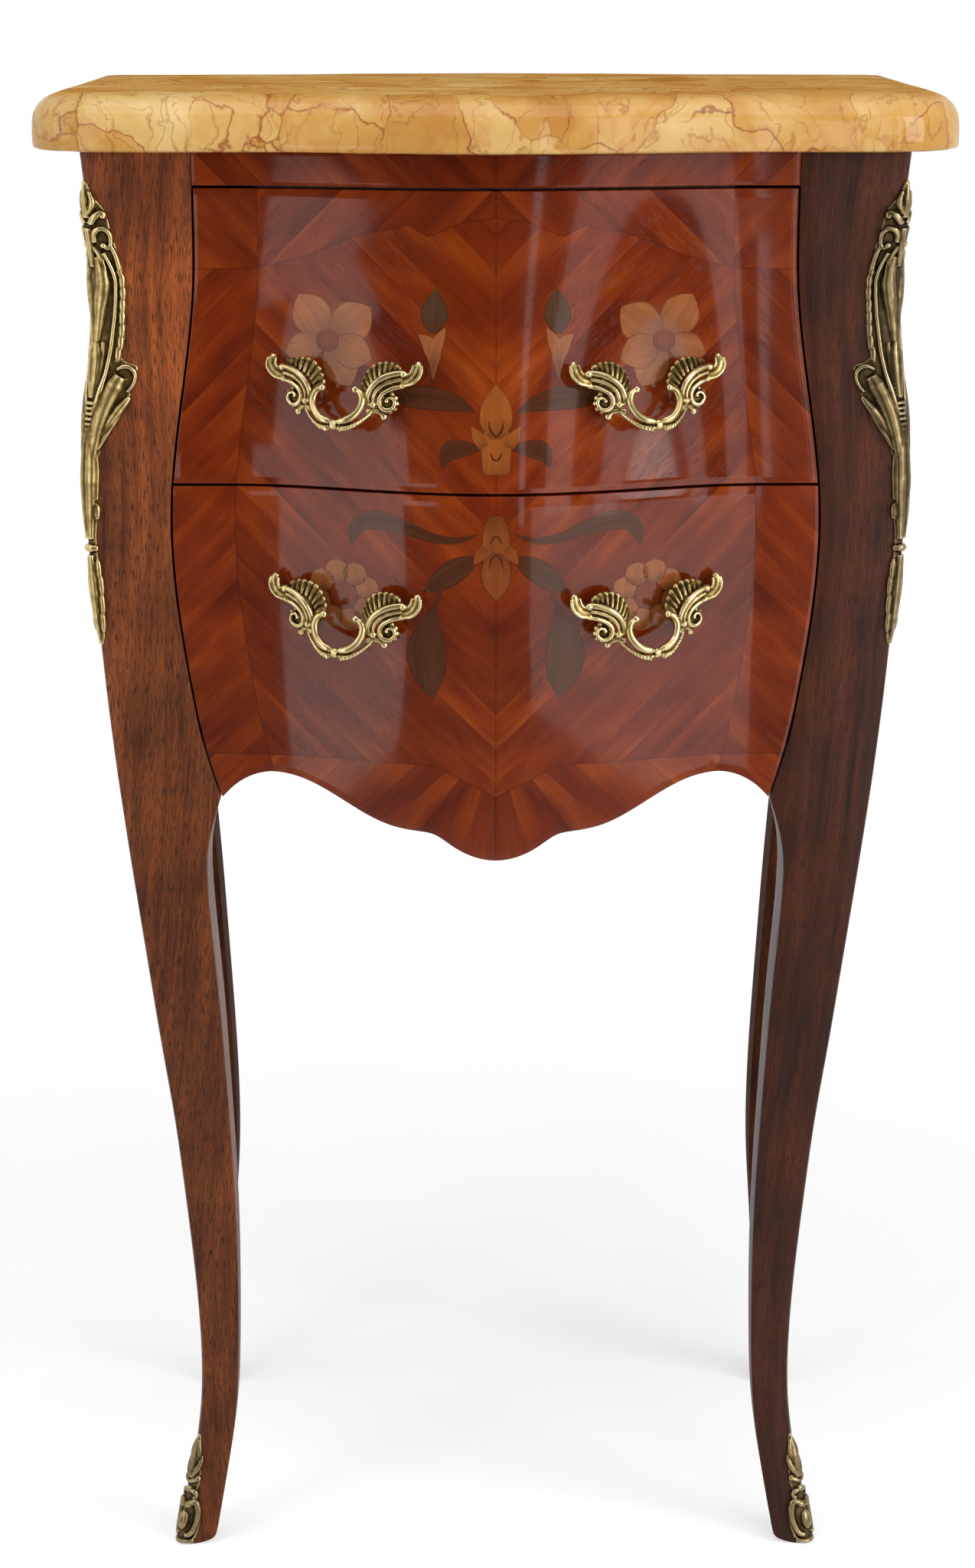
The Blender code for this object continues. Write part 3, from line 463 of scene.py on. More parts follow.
# Painted shade: the right front leg gets darker tones than the left one.
right_leg_painted_shade_wood = leg_wood("right_leg_mahogany_painted_shade", 0.40, 0.2, (27, 11, 6), (84, 40, 20))
# Painted shade: the rear legs get darker tones; their dull finish is only roughness and specular level.
rear_leg_painted_shade_wood = leg_wood("rear_leg_mahogany_painted_shade", 0.70, 0.06, (44, 21, 12), (92, 46, 24))
print("leg wood:", len(left_leg_wood.node_tree.nodes), "nodes")

# %% [markdown]
# ## Plain wood inside
# Drawer sides, runners and the back are pale planed wood without polish. The grain runs along the length of a board,
# so there is one finish for boards that run across the chest and one for boards that run front to back.

# %% Drawer wood
def drawer_wood(name, length_axis, cross_axis):
    """Dry planed wood with the grain along one axis."""
    made, shader, place = finish(name, specular_ior_level=0.3)
    point = axes(place)
    streak, pore = grain(point[length_axis], point[cross_axis] + point[UP] * 0.9, 5.0, 0.012)
    wood = ramp(streak * 1.8 - 0.45, (0.0, (138, 106, 72)), (0.45, (168, 134, 95)), (1.0, (193, 162, 122)))
    wood = blend(scaled(noise(place, 16, 4), 0.5, 0.8, 0, 0.35), wood, (120, 90, 60))
    wood = blend(pore * 0.5, wood, (96, 70, 44))
    feed(shader, base_color=wood, roughness=streak * 0.2 + 0.5, normal=bumps(pore * -0.6 + streak, 0.00015, 0.5))
    return made


crosswise_wood = drawer_wood("drawer_wood_crosswise", ACROSS, BACK)
lengthwise_wood = drawer_wood("drawer_wood_lengthwise", BACK, ACROSS)
print("drawer wood ready")

# %% [markdown]
# ## Marble
# The slab is a golden marble: honey-coloured clouds, paler lumps, and thin rust-red veins. Lumps and veins come from
# one Voronoi pattern that is pushed about by noise; where two cells meet there is a vein, but another noise breaks the
# net so that not every border shows. Finer, wirier veins are the level lines of a noise. The edge is polished; the top
# is honed, and is painted a deeper colour as painted shade, to tone down the light that falls on it.

# %% Marble finish
# Painted shade for the top of the slab.
TOP_PAINTED_SHADE_TINT = (0.95, 0.90, 0.80, 1)
marble, shader, place = finish("golden_marble", coat_roughness=0.04, specular_ior_level=0)


def vector(operation, *values):
    """The result of a Vector Math node."""
    return add(values[0].tree, "VectorMath", values, operation=operation)


def lines(value, middle, wide):
    """1 on the thin lines where a noise passes through a value."""
    return scaled(abs(value - middle), 0.0, wide, 1, 0)


warp = vector("SUBTRACT", noise(place, 26, 5, out="Color"), (0.5, 0.5, 0.5))
bent = vector("MULTIPLY_ADD", warp, (0.05, 0.05, 0.05), place)
net = {"Vector": bent, "Scale": 24}
cells = add(place.tree, "TexVoronoi", net, "Distance", feature="DISTANCE_TO_EDGE")
paler = add(place.tree, "SeparateColor", [add(place.tree, "TexVoronoi", net, "Color")])
cloud = noise(bent, 21, 5, 0.6)
wiry = noise(bent, 15, 4, 0.55)
drop = noise(vector("MULTIPLY", bent, (1, 1, 0.25)), 27, 3)
broken = scaled(noise(place, 34, 2), 0.36, 0.54)
stone = ramp(
    paler * 0.35 + (cloud * 1.3 - 0.36),
    (0.0, (170, 112, 50)), (0.35, (196, 148, 78)), (0.65, (208, 170, 106)), (1.0, (228, 204, 156)),
)
hair = most(most(lines(drop, 0.47, 0.009), lines(drop, 0.56, 0.007)), lines(wiry, 0.44, 0.006))
stone = blend(lines(wiry, 0.56, 0.03) * (broken * 0.35), stone, (184, 112, 56))
stone = blend(hair * 0.55, stone, (150, 84, 44))
stone = blend(scaled(cells, 0.002, 0.022, 1, 0) * broken * 0.8, stone, (138, 70, 38))
flat = stepped(axes(add(place.tree, "TexCoord", out="Normal"))[UP], 0.75, 0.99)
# Painted shade: the upward faces are darkened by the tint.
stone = blend(flat, stone, times(stone, TOP_PAINTED_SHADE_TINT))
feed(shader, base_color=stone, coat_weight=flat * -0.5 + 0.5, roughness=cloud * 0.14 + 0.12)
print("marble:", len(place.tree.nodes), "nodes")

# %% [markdown]
# ## Gilt brass
# The mounts are cast and gilt, then darkened by age: high places are rubbed bright, hollows hold brown dirt. How deep
# a place lies is worked out on each casting's mesh and kept as an attribute, so the dirt sits in the real hollows.

# %% Brass finish
HOLLOW_STEPS = (0.0, 0.34, 0.53, 0.78)


def gilt_brass(name, *tones):
    """Aged gilding: the colour of high places, slopes, low places and deep hollows."""
    made, shader, place = finish(name, metallic=1)
    mottle = noise(place, 260, 3)
    depth = (mottle - 0.5) * 0.35 + noted(place, "hollow")
    gilding = ramp(depth, *zip(HOLLOW_STEPS, tones))
    feed(shader, base_color=gilding, roughness=scaled(depth, 0, 1, 0.2, 0.55), normal=bumps(mottle, 0.0001, 0.4))
    return made


brass = gilt_brass("aged_gilt_brass", (230, 214, 170), (188, 165, 110), (110, 87, 47), (44, 32, 17))
# Darker gilding for the shoes; on the right corner mount it is painted shade.
shoe_and_shaded_chute_brass = gilt_brass("shoe_and_shaded_chute_gilt_brass", (188, 172, 136), (136, 118, 84), (86, 70, 46), (38, 30, 20))
print("brass:", len(brass.node_tree.nodes), "nodes")

# %% [markdown]
# ## Smooth shapes from the solids
# The solids have the right shapes with few faces. A copy is merged, its triangles are joined to quads, its hard edges
# are creased, and a Subdivision Surface rounds the rest; then the hard edges get a hair of a bevel, because no real
# edge is perfectly sharp. The copy stands for the solid and sits in the same place.

# %% Helpers for pieces
HARD_ANGLE = math.radians(40)
EDGE_ROUND, LEVELS = 0.0004, 2


def put(name, mesh, body, slot_name, *replaced):
    """A finished piece from a mesh that already has its place."""
    piece = shown(name, mesh)
    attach(piece, body)
    if replaced:
        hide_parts(*replaced)
    return piece


def applied(shape, kind=None, **settings):
    """The mesh of a mesh or a curve, after one modifier where a kind is given."""
    holder = shown("holder", shape)
    if kind:
        modifier = holder.modifiers.new("shape", kind)
        for name, value in settings.items():
            setattr(modifier, name, value)
    made = bpy.data.meshes.new_from_object(holder.evaluated_get(bpy.context.evaluated_depsgraph_get()))
    bpy.data.objects.remove(holder)
    return made


def as_bmesh(mesh):
    """A mesh turned into a bmesh."""
    bm = bmesh.new()
    bm.from_mesh(mesh)
    return bm


def hard_edges(bm):
    """The edges that stay sharp."""
    return [edge for edge in bm.edges if edge.calc_face_angle(0) > HARD_ANGLE]


def smooth_copy(node):
    """A rounded copy of a solid's mesh."""
    bm = as_bmesh(nodes[node].data)
    bmesh.ops.remove_doubles(bm, verts=bm.verts, dist=1e-6)
    bmesh.ops.join_triangles(
        bm, faces=bm.faces, angle_face_threshold=math.radians(25), angle_shape_threshold=math.radians(70)
    )
    crease = bm.edges.layers.float.new("crease_edge")
    for edge in hard_edges(bm):
        edge[crease] = 1
    bm = as_bmesh(applied(meshed(bm, node), "SUBSURF", levels=LEVELS, render_levels=LEVELS))
    bmesh.ops.bevel(
        bm, geom=hard_edges(bm), offset=EDGE_ROUND, affect="EDGES", segments=2, profile=0.5, material=-1,
        clamp_overlap=True,
    )
    mesh = meshed(bm, node)
    mesh.shade_smooth()
    return mesh


def dress(mesh, finish_made):
    """One finish for the whole mesh."""
    mesh.materials.clear()
    mesh.materials.append(finish_made)
    return mesh


SMOOTHED = (  # body, slot, finish, solids
    ("carcase", "marble", marble, "marble_slab"),
    ("carcase", "polished_wood", left_leg_wood, "front_leg_left"),
    ("carcase", "polished_wood", right_leg_painted_shade_wood, "front_leg_right"),
    ("carcase", "polished_wood", rear_leg_painted_shade_wood, "rear_leg_left", "rear_leg_right"),
    ("carcase", "veneer", side_veneer, "side_panel_left", "side_panel_right"),
    ("carcase", "veneer", frieze_painted_shade_veneer, "frieze_rail"),
    ("upper_drawer", "veneer", front_veneer, "upper_drawer_front"),
    ("lower_drawer", "veneer", front_veneer, "lower_drawer_front"),
)
smoothed = {}
for body, slot_name, made, *solids in SMOOTHED:
    for node in solids:
        mesh = dress(smooth_copy(node), made)
        smoothed[node] = put(node + "_shape", mesh, body, slot_name, node)
        print(node, len(mesh.polygons), "faces")

# %% Fields of the veneer, kept as attributes
CREST_LINE = (  # distance from the middle, height: the curved joint on the upper drawer
    (0, 0.7139), (0.0165, 0.7117), (0.033, 0.7045), (0.043, 0.7105), (0.05, 0.708), (0.0635, 0.706), (0.0744, 0.7021),
    (0.0931, 0.6943), (0.111, 0.6896), (0.12, 0.688), (0.2, 0.686),
)
SIDE_FACING = 0.8


def listed(items, key, width=3, kind=float):
    """One property of many items, as rows of numbers."""
    values = np.empty(len(items) * width, kind)
    items.foreach_get(key, values)
    return values.reshape(-1, width)


def keep(mesh, name, values):
    """One number for each point, kept on the mesh."""
    mesh.attributes.new(name, "FLOAT", "POINT").data.foreach_set("value", values.astype(np.float32))


def side_edge(points, normals):
    """Half the width of a front at each height, read along its side faces."""
    rows = {}
    for point, normal in zip(points, normals):
        if abs(normal[0]) > SIDE_FACING:
            rows.setdefault(round(point[2], 4), []).append(abs(point[0]))
    heights = sorted(rows)
    return heights, [max(rows[height]) for height in heights]


for node in ("upper_drawer_front", "lower_drawer_front", "frieze_rail", "side_panel_left", "side_panel_right"):
    mesh = smoothed[node].data
    points = listed(mesh.vertices, "co")
    across, back, up = points.T
    if node.startswith("side"):
        edge = np.minimum(back - back.min(), back.max() - back)
    elif node == "frieze_rail":
        edge = np.full(len(points), 1.0)
    else:
        edge = np.interp(up, *side_edge(points, listed(mesh.vertices, "normal"))) - np.abs(across)
    crest = np.full(len(points), -1.0)
    if node == "upper_drawer_front":
        crest = up - np.interp(np.abs(across), *zip(*CREST_LINE))
    keep(mesh, "edge", edge)
    keep(mesh, "crest", crest)
print("veneer fields written")

# %% [markdown]
# ## Cast mounts
# Pulls, corner mounts and shoes are lost-wax castings: scrolls, shells and leaves that flow into each other. Each is
# modelled the way a founder models wax: strands (Bezier curves with a round bevel) and lumps (stretched spheres) are
# pushed together, and a voxel Remesh makes one skin of them. Measures in these tables are millimetres.

# %% Helpers for castings
MM = 0.001
RELAX = 2


def strand(curve, knots):
    """A tapering round strand through (x, y, z, radius) knots."""
    spline = curve.splines.new("BEZIER")
    spline.bezier_points.add(len(knots) - 1)
    for point, (x, y, z, radius) in zip(spline.bezier_points, knots):
        point.co = (x * MM, y * MM, z * MM)
        point.radius = radius * MM
        point.handle_left_type = point.handle_right_type = "AUTO"


def lump(bm, place, radii, turn=None):
    """A stretched ball."""
    shape = Matrix.LocRotScale(Vector(place) * MM, turn, Vector(radii) * MM)
    bmesh.ops.create_icosphere(bm, subdivisions=3, radius=1, matrix=shape)


def new_wax():
    """An empty curve for strands and an empty bmesh for lumps."""
    curve = bpy.data.curves.new("wax", "CURVE")
    curve.dimensions = "3D"
    curve.bevel_depth = 1
    curve.bevel_resolution = 7
    curve.resolution_u = 6
    curve.use_fill_caps = True
    return curve, bmesh.new()


def cast(name, curve, bm, voxel):
    """One skin over strands and lumps."""
    bm.from_mesh(applied(curve))
    bm = as_bmesh(applied(meshed(bm, name), "REMESH", mode="VOXEL", voxel_size=voxel * MM))
    for _ in range(RELAX):
        bmesh.ops.smooth_vert(bm, verts=bm.verts, factor=0.5, use_axis_x=True, use_axis_y=True, use_axis_z=True)
    mesh = meshed(bm, name)
    mesh.shade_smooth()
    return mesh


def hollows(mesh, reach, depth):
    """How far each point lies under the mean of its surroundings, from 0, high, to 1, deep."""
    points, normals = listed(mesh.vertices, "co"), listed(mesh.vertices, "normal")
    ends = listed(mesh.edges, "vertices", 2, int)
    count = np.bincount(ends.ravel(), minlength=len(points))[:, None]
    mean = points
    for _ in range(reach):
        total = np.zeros_like(mean)
        np.add.at(total, ends[:, 0], mean[ends[:, 1]])
        np.add.at(total, ends[:, 1], mean[ends[:, 0]])
        mean = total / count
    under = ((mean - points) * normals).sum(1) / (depth * MM)
    return np.clip(0.5 + 0.5 * under, 0, 1)


print("casting helpers ready")

# %% [markdown]
# ## Pulls
# Each pull is one casting: a bow of two strands with a bead in its middle hangs between two ends, and each end is a
# ribbed shell over a double scroll, a volute, a curled lip and a leaf that turns up at the tip. Half a pull is
# described, from the middle outwards, as (across, off the drawer, up, radius), and mirrored. The shells, which lie
# behind the scrolls, are made darker than their depth alone makes them.

# %% Wax for one pull
PULL_STRANDS = (
    ((31.6, 8.4, 7.6, 1.5), (27.8, 9.8, 6.9, 1.6), (24.2, 11, 5.7, 1.6), (21, 12, 3.9, 1.6), (18.3, 12.5, 1.5, 1.5),
     (16.2, 12.6, -1.5, 1.4), (15.1, 12.4, -4.8, 1.3), (15.4, 11.9, -7.6, 1.2), (17.2, 11.4, -8.9, 1.1)),
    ((31, 8.2, 4.4, 1), (27.4, 9.2, 3.6, 1.1), (23.8, 10.2, 2.2, 1.1), (20.8, 11, 0.2, 1.1), (18.6, 11.4, -2.6, 1),
     (17.6, 11.4, -5.8, 0.9), (17.4, 11.4, -8.2, 0.9)),
    ((30.6, 7.6, 0.8, 1.1), (27.6, 8.6, 0.2, 1.2), (24.2, 9.4, -1.4, 1.2), (21.4, 10, -3.8, 1.2),
     (20.4, 10.2, -6.8, 1.2), (21.6, 10, -9.6, 1.2), (24.4, 9.4, -10.8, 1.2), (27.2, 8.8, -9.4, 1.1),
     (27.9, 8.6, -6.8, 1), (26.2, 8.8, -5, 0.9), (24.2, 9.2, -5.8, 0.9), (23.9, 9.4, -7.2, 1.2)),
    ((14.4, 12, -12, 1.3), (18, 10, -11.4, 1.3), (20.6, 8.8, -12, 1.3), (22.3, 7.8, -13.6, 1.5)),
    ((16.6, 10.6, -13, 1), (14.4, 12.4, -15.4, 1.1), (11.4, 14.4, -17.9, 1.3), (8, 16.2, -19.9, 1.4),
     (4.2, 17.2, -20.9, 1.4)),
    ((8.8, 12.4, -1.9, 1.3), (11, 12.6, -2.9, 1.6), (12.4, 12.9, -5.2, 1.8), (12.8, 13.6, -8, 1.9),
     (11.6, 14.8, -11.6, 1.9), (9, 16, -14.8, 2), (5.9, 16.9, -16.7, 2), (3.2, 17.2, -17.4, 1.7)),
    ((30.4, 6.6, 3.6, 2), (33.6, 6.6, 3.6, 2.4), (36.6, 6.2, 5.6, 2.7), (38.2, 5.8, 9, 2.5), (38.1, 5.4, 11.8, 2),
     (37.6, 5.2, 13.2, 1.4)),
    ((32.4, 8.4, 1.4, 0.7), (36.8, 8.4, 3, 0.9), (40.2, 7.6, 7.4, 0.9), (40.1, 6.6, 11.6, 0.8)),
    ((33.2, 8.2, 5.8, 0.7), (35.4, 8, 8.2, 0.8), (36, 7, 11.6, 0.7)),
)
PULL_BALLS = (
    (17.6, 11.2, -8.6, 1.8), (22.4, 7.6, -14, 1.9), (8.6, 12.4, -1.7, 1.9), (31.8, 8.6, 7, 1.9),
    (31.2, 7.4, 1.4, 1.7), (2.8, 17.2, -17.6, 1.5), (3, 16.8, -20.8, 1.5),
)
SHELL_RIBS = (  # foot and tip, across and up
    ((14.6, -3.4), (10.9, 1)),
    ((15.2, -0.6), (11.9, 4)),
    ((16.4, 1.4), (13.4, 7)),
    ((18, 3.2), (15.8, 9.6)),
    ((20, 4.8), (18.8, 10.9)),
    ((22.4, 6), (21.9, 11.2)),
    ((24.8, 6.8), (24.8, 11)),
    ((27.2, 7.4), (27.2, 10.2)),
)
VOLUTE, VOLUTE_BEADS, BEAD_CIRCLE = (24.3, 7.2, -7.2), 6, 4.4
KNOT_OFF, KNOT_UP = 17.0, -19.2
POST_AT, POST_RADIUS, POST_LENGTH = 22.5, 4.0, 8.0
GADROONS = 11
SHELL_DARKENING = 0.17

curve, bm = new_wax()
for side in (-1, 1):
    for knots in PULL_STRANDS:
        strand(curve, [(side * x, -off, z, radius) for x, off, z, radius in knots])
    for x, off, z, radius in PULL_BALLS:
        lump(bm, (side * x, -off, z), (radius, radius, radius))
    for (foot_x, foot_z), (tip_x, tip_z) in SHELL_RIBS:
        foot_x, tip_x = side * foot_x, side * tip_x
        half_x, half_z = (foot_x + tip_x) / 2, (foot_z + tip_z) / 2
        strand(curve, [(foot_x, -9.4, foot_z, 0.9), (half_x, -8.5, half_z, 1.0), (tip_x, -7.0, tip_z, 1.1)])
        lump(bm, (tip_x, -6.6, tip_z), (1.75, 1.5, 1.75))
        lump(bm, (half_x, -6.8, half_z), (3.0, 2.1, 3.0))
    x, off, z = VOLUTE
    lump(bm, (side * x, -off, z), (4.2, 1.5, 4.2))
    for step in range(VOLUTE_BEADS):
        angle = math.radians(36 * step - 110)
        bead = (side * (x + BEAD_CIRCLE * math.cos(angle)), -off, z + BEAD_CIRCLE * math.sin(angle))
        lump(bm, bead, (1.3, 1.3, 1.3))
    lower = PULL_STRANDS[4]
    for place in np.linspace(0, len(lower) - 1, GADROONS):
        x, off, z, _ = (np.interp(place, range(len(lower)), column) for column in zip(*lower))
        lump(bm, (side * x, -off - 0.5, z - 0.4), (0.68, 1.5, 1.7), Matrix.Rotation(side * math.radians(24), 3, "Y"))
    post = Matrix.Translation(Vector((side * POST_AT, -POST_LENGTH / 2, 0)) * MM) @ Matrix.Rotation(math.pi / 2, 4, "X")
    bmesh.ops.create_cone(
        bm, cap_ends=True, segments=24, radius1=POST_RADIUS * MM, radius2=POST_RADIUS * MM, depth=POST_LENGTH * MM,
        matrix=post,
    )
lump(bm, (0, -KNOT_OFF, KNOT_UP), (1.7, 2.1, 2.7))
for shift in (-1.1, 1.1):
    lump(bm, (shift, -KNOT_OFF, KNOT_UP), (0.6, 2.2, 2.4))
pull_mesh = dress(cast("pull", curve, bm, 0.34), brass)
across, off, up = (listed(pull_mesh.vertices, "co") / MM * (1, -1, 1)).T
across = np.abs(across)
scroll = np.interp(across, *zip(*sorted((knot[0], knot[2]) for knot in PULL_STRANDS[0][:7])))
in_shell = (up > scroll + 0.8) & (off < 10.2) & (across < 29.5) & (across > 10)
keep(pull_mesh, "hollow", np.clip(hollows(pull_mesh, 36, 0.72) + SHELL_DARKENING * in_shell, 0, 1))
print("pull:", len(pull_mesh.polygons), "faces")

# %% Set the pulls on the drawers
PULL_AT, PULL_SEAT = 0.0720, 0.0007
PULLS = {  # drawer: height of the posts, tilt of the outer end in degrees
    "upper": (0.6324, 1.0),
    "lower": (0.5230, 5.0),
}
HANDS = ((-1, "left"), (1, "right"))


def surface(node):
    """Ray target over a smoothed piece."""
    bm = as_bmesh(smoothed[node].data)
    target = BVHTree.FromBMesh(bm)
    bm.free()
    return target


def on_front(front, x, z):
    """The point of a drawer front at a place seen from the front, and its normal."""
    return front.ray_cast(Vector((x, -1, z)), Vector((0, 1, 0)))[:2]


for word, (height, tilt) in PULLS.items():
    front = surface(word + "_drawer_front")
    half = POST_AT * MM * math.cos(math.radians(tilt))
    rise = POST_AT * MM * math.sin(math.radians(tilt))
    for side, hand in HANDS:
        middle = side * PULL_AT
        start = on_front(front, middle - half, height - side * rise)[0]
        end = on_front(front, middle + half, height + side * rise)[0]
        across = (end - start).normalized()
        up = on_front(front, middle, height + half)[0] - on_front(front, middle, height - half)[0]
        inward = up.cross(across).normalized()
        turn = Matrix((across, inward, across.cross(inward))).transposed().to_4x4()
        mesh = pull_mesh.copy()
        mesh.transform(Matrix.Translation((start + end) / 2 - PULL_SEAT * inward) @ turn)
        put(f"{word}_pull_{hand}_cast", mesh, word + "_drawer", "aged_brass", f"{word}_pull_{hand}")
print("four pulls set")

# %% [markdown]
# ## Marquetry
# Flowers, buds and leaves are sawn from other woods and let into the veneer, flush with it. Each is a blade: a strip
# that is laid along a spine, as wide as a list of half widths says. A grid takes that shape, every point is dropped on
# the bowed front, and the rim is pushed into the wood, so the pieces keep the curve and the polish of the drawer. The
# grain runs along each blade by its own UV map, and the saw cut shows as a dark line at the rim.

# %% Finish of the inlays
NOTES = ("tone", "board", "beside", "reach")
inlay_wood, shader, place = finish("marquetry_woods", coat_roughness=0.05, specular_ior_level=0.2)
tone, board, beside, reach = (noted(place, name) for name in NOTES)
run = axes(add(place.tree, "UVMap", uv_map="grain"))
streak, pore = grain(run[0], run[1], board, 0.003)
woods = ramp(
    tone, (0.0, (76, 40, 20)), (0.25, (78, 52, 34)), (0.5, (112, 48, 22)), (0.75, (138, 74, 28)), (1.0, (146, 86, 48))
)
woods = times(woods, scaled(streak, 0.3, 0.7, 0.72, 1.2))
woods = blend(scaled(reach, 0.0, 0.45, 0.55, 0), woods, (74, 34, 18))
cut = scaled(abs(beside), 0.90, 0.97)
feed(shader, base_color=blend(cut * 0.55, woods, (46, 22, 12)))
polish(shader, place, pore, 0.05)
print("inlay finish:", len(place.tree.nodes), "nodes")

# %% Blades on a drawer front
RIM_SUNK = 0.5


def along_spine(knots, share):
    """A point on the smooth curve through the knots, at a share of the way."""
    place = share * (len(knots) - 1)
    index = min(int(place), len(knots) - 2)
    t = place - index
    before, start, end, after = (knots[min(max(index + step, 0), len(knots) - 1)] for step in (-1, 0, 1, 2))
    return 0.5 * (2 * start + (end - before) * t + (2 * before - 5 * start + 4 * end - after) * t * t
                  + (3 * start - before - 3 * end + after) * t ** 3)


def blade(bm, front, spine, widths, tone, board, lift):
    """One inlay, with its spine and half widths in millimetres."""
    layers = [bm.verts.layers.float[name] for name in NOTES]
    spine = [np.array(knot, float) for knot in spine]
    widths = [np.array(width, float) for width in widths]
    rows = 14 if len(spine) < 4 else 24
    made = bmesh.ops.create_grid(bm, x_segments=10, y_segments=rows, size=1)["verts"]
    laid_out = {}
    for vertex in made:
        beside = math.copysign(abs(vertex.co.x) ** 0.6, vertex.co.x)
        share = (vertex.co.y + 1) / 2
        ahead = along_spine(spine, min(share + 0.01, 1)) - along_spine(spine, max(share - 0.01, 0))
        ahead = ahead / max(np.hypot(*ahead), 1e-9)
        wide = max(float(along_spine(widths, share)), 0.0)
        x, z = along_spine(spine, share) + np.array((ahead[1], -ahead[0])) * beside * wide
        point, normal = on_front(front, x * MM, z * MM)
        vertex.co = point + normal * lift * MM
        for layer, value in zip(layers, (tone, board, max(abs(beside), 1 if wide < 0.25 else 0), share)):
            vertex[layer] = value
        laid_out[vertex] = (share * 0.03, beside * wide * MM)
    run = bm.loops.layers.uv["grain"]
    for face in {face for vertex in made for face in vertex.link_faces}:
        for loop in face.loops:
            loop[run].uv = laid_out[loop.vert]
        if face.normal.y > 0:
            face.normal_flip()
    bmesh.ops.remove_doubles(bm, verts=made, dist=2e-6)


def marquetry(word, blades):
    """All inlays of one drawer: each blade on the left is mirrored to the right, unless it stands in the middle."""
    front = surface(word + "_drawer_front")
    bm = bmesh.new()
    for name in NOTES:
        bm.verts.layers.float.new(name)
    bm.loops.layers.uv.new("grain")
    for number, (tone, lift, spine, widths) in enumerate(blades):
        blade(bm, front, spine, widths, tone, number, lift)
        if abs(spine[0][0]) + abs(spine[-1][0]) > 0.01:
            blade(bm, front, [(-x, z) for x, z in spine], widths, tone, number, lift)
    rim = [edge for edge in bm.edges if edge.is_boundary]
    for edge in rim:
        edge.smooth = False
    for vertex in bmesh.ops.extrude_edge_only(bm, edges=rim)["geom"]:
        if isinstance(vertex, bmesh.types.BMVert):
            vertex.co.y += RIM_SUNK * MM
    mesh = dress(meshed(bm, word + "_marquetry"), inlay_wood)
    mesh.shade_smooth()
    put(word + "_marquetry", mesh, word + "_drawer", "veneer")
    print(word, "marquetry:", len(mesh.polygons), "faces")


def round_about(centre, angle, reach):
    """A point at an angle and a distance from a centre."""
    turn = math.radians(angle)
    return centre[0] + reach * math.cos(turn), centre[1] + reach * math.sin(turn)


def petal(centre, angle, length, wide, tone, lift=0.10):
    """A broad petal that points away from the centre of its flower."""
    knots = [round_about(centre, angle, length * share) for share in (0.12, 0.4, 0.68, 0.88, 1.0)]
    return tone, lift, knots, [wide * part for part in (0.40, 0.94, 0.98, 0.54, 0.05)]


def disc(centre, radius, tone, lift):
    """A round inlay."""
    shares = [step / 8 for step in range(9)]
    knots = [(centre[0], centre[1] - radius + 2 * radius * share) for share in shares]
    return tone, lift, knots, [radius * math.sqrt(max(0, 1 - (2 * share - 1) ** 2)) for share in shares]


print("blades ready")

# %% Inlays of the upper drawer
DARK, BUD, RUSSET, LILY, ORANGE, PALE, TAN = 0.0, 0.25, 0.5, 0.64, 0.75, 0.9, 1.0
FLOWER = (-82.4, 653.5)
UPPER_BLADES = (  # wood, lift, spine, half widths
    petal(FLOWER, 122, 26, 9.6, TAN), petal(FLOWER, 38, 27, 9.8, TAN, 0.11), petal(FLOWER, -21, 23, 8.4, TAN, 0.12),
    petal(FLOWER, -62, 24, 8.6, TAN), petal(FLOWER, 198, 21.5, 7.4, TAN, 0.11), disc(FLOWER, 5.6, RUSSET, 0.16),
    (BUD, 0.12, ((-29.6, 658.6), (-30.2, 663.5), (-29.8, 669), (-29.4, 675), (-29.2, 680.2)),
     (2.2, 5.4, 6.4, 3.8, 0.1)),
    (TAN, 0.14, ((-30.6, 636.5), (-30.3, 643), (-30.6, 650), (-33.6, 654.6), (-37.8, 658)),
     (0.5, 1.8, 4.2, 3.2, 0.1)),
    (TAN, 0.18, ((-30.2, 642), (-29.6, 650), (-27.4, 656), (-24.4, 661.6)), (0.6, 2.8, 2.6, 0.1)),
    (DARK, 0.1, ((-10.4, 621.4), (-19.2, 625.4), (-32.2, 627.7), (-43.3, 627.9), (-52, 625.8)),
     (0.4, 3.8, 5.6, 4.8, 0.4)),
    (DARK, 0.1, ((-7.4, 604), (-15.6, 604), (-22.6, 602.2), (-26.4, 594.6)), (0.8, 3.8, 4.6, 0.3)),
    (ORANGE, 0.14, ((0, 591.4), (0, 593.4), (0, 600), (0, 607), (0, 613)), (5, 6.8, 7.3, 7.8, 6)),
    (ORANGE, 0.16, ((-6, 604.5), (-8.8, 609.5), (-11.9, 614.8)), (2.2, 2.9, 0.2)),
    (ORANGE, 0.22, ((0, 608.6), (0, 614), (0, 620), (0, 627), (0, 634.4)), (2.6, 7.2, 8.2, 6.4, 0.4)),
    (DARK, 0.26, ((-3.9, 617.2), (-2.6, 612.6), (0, 609.6)), (0.1, 0.6, 0.5)),
    (DARK, 0.26, ((-2.7, 602.2), (-1.6, 599.4), (0, 598.2)), (0.1, 0.5, 0.4)),
)
marquetry("upper", UPPER_BLADES)

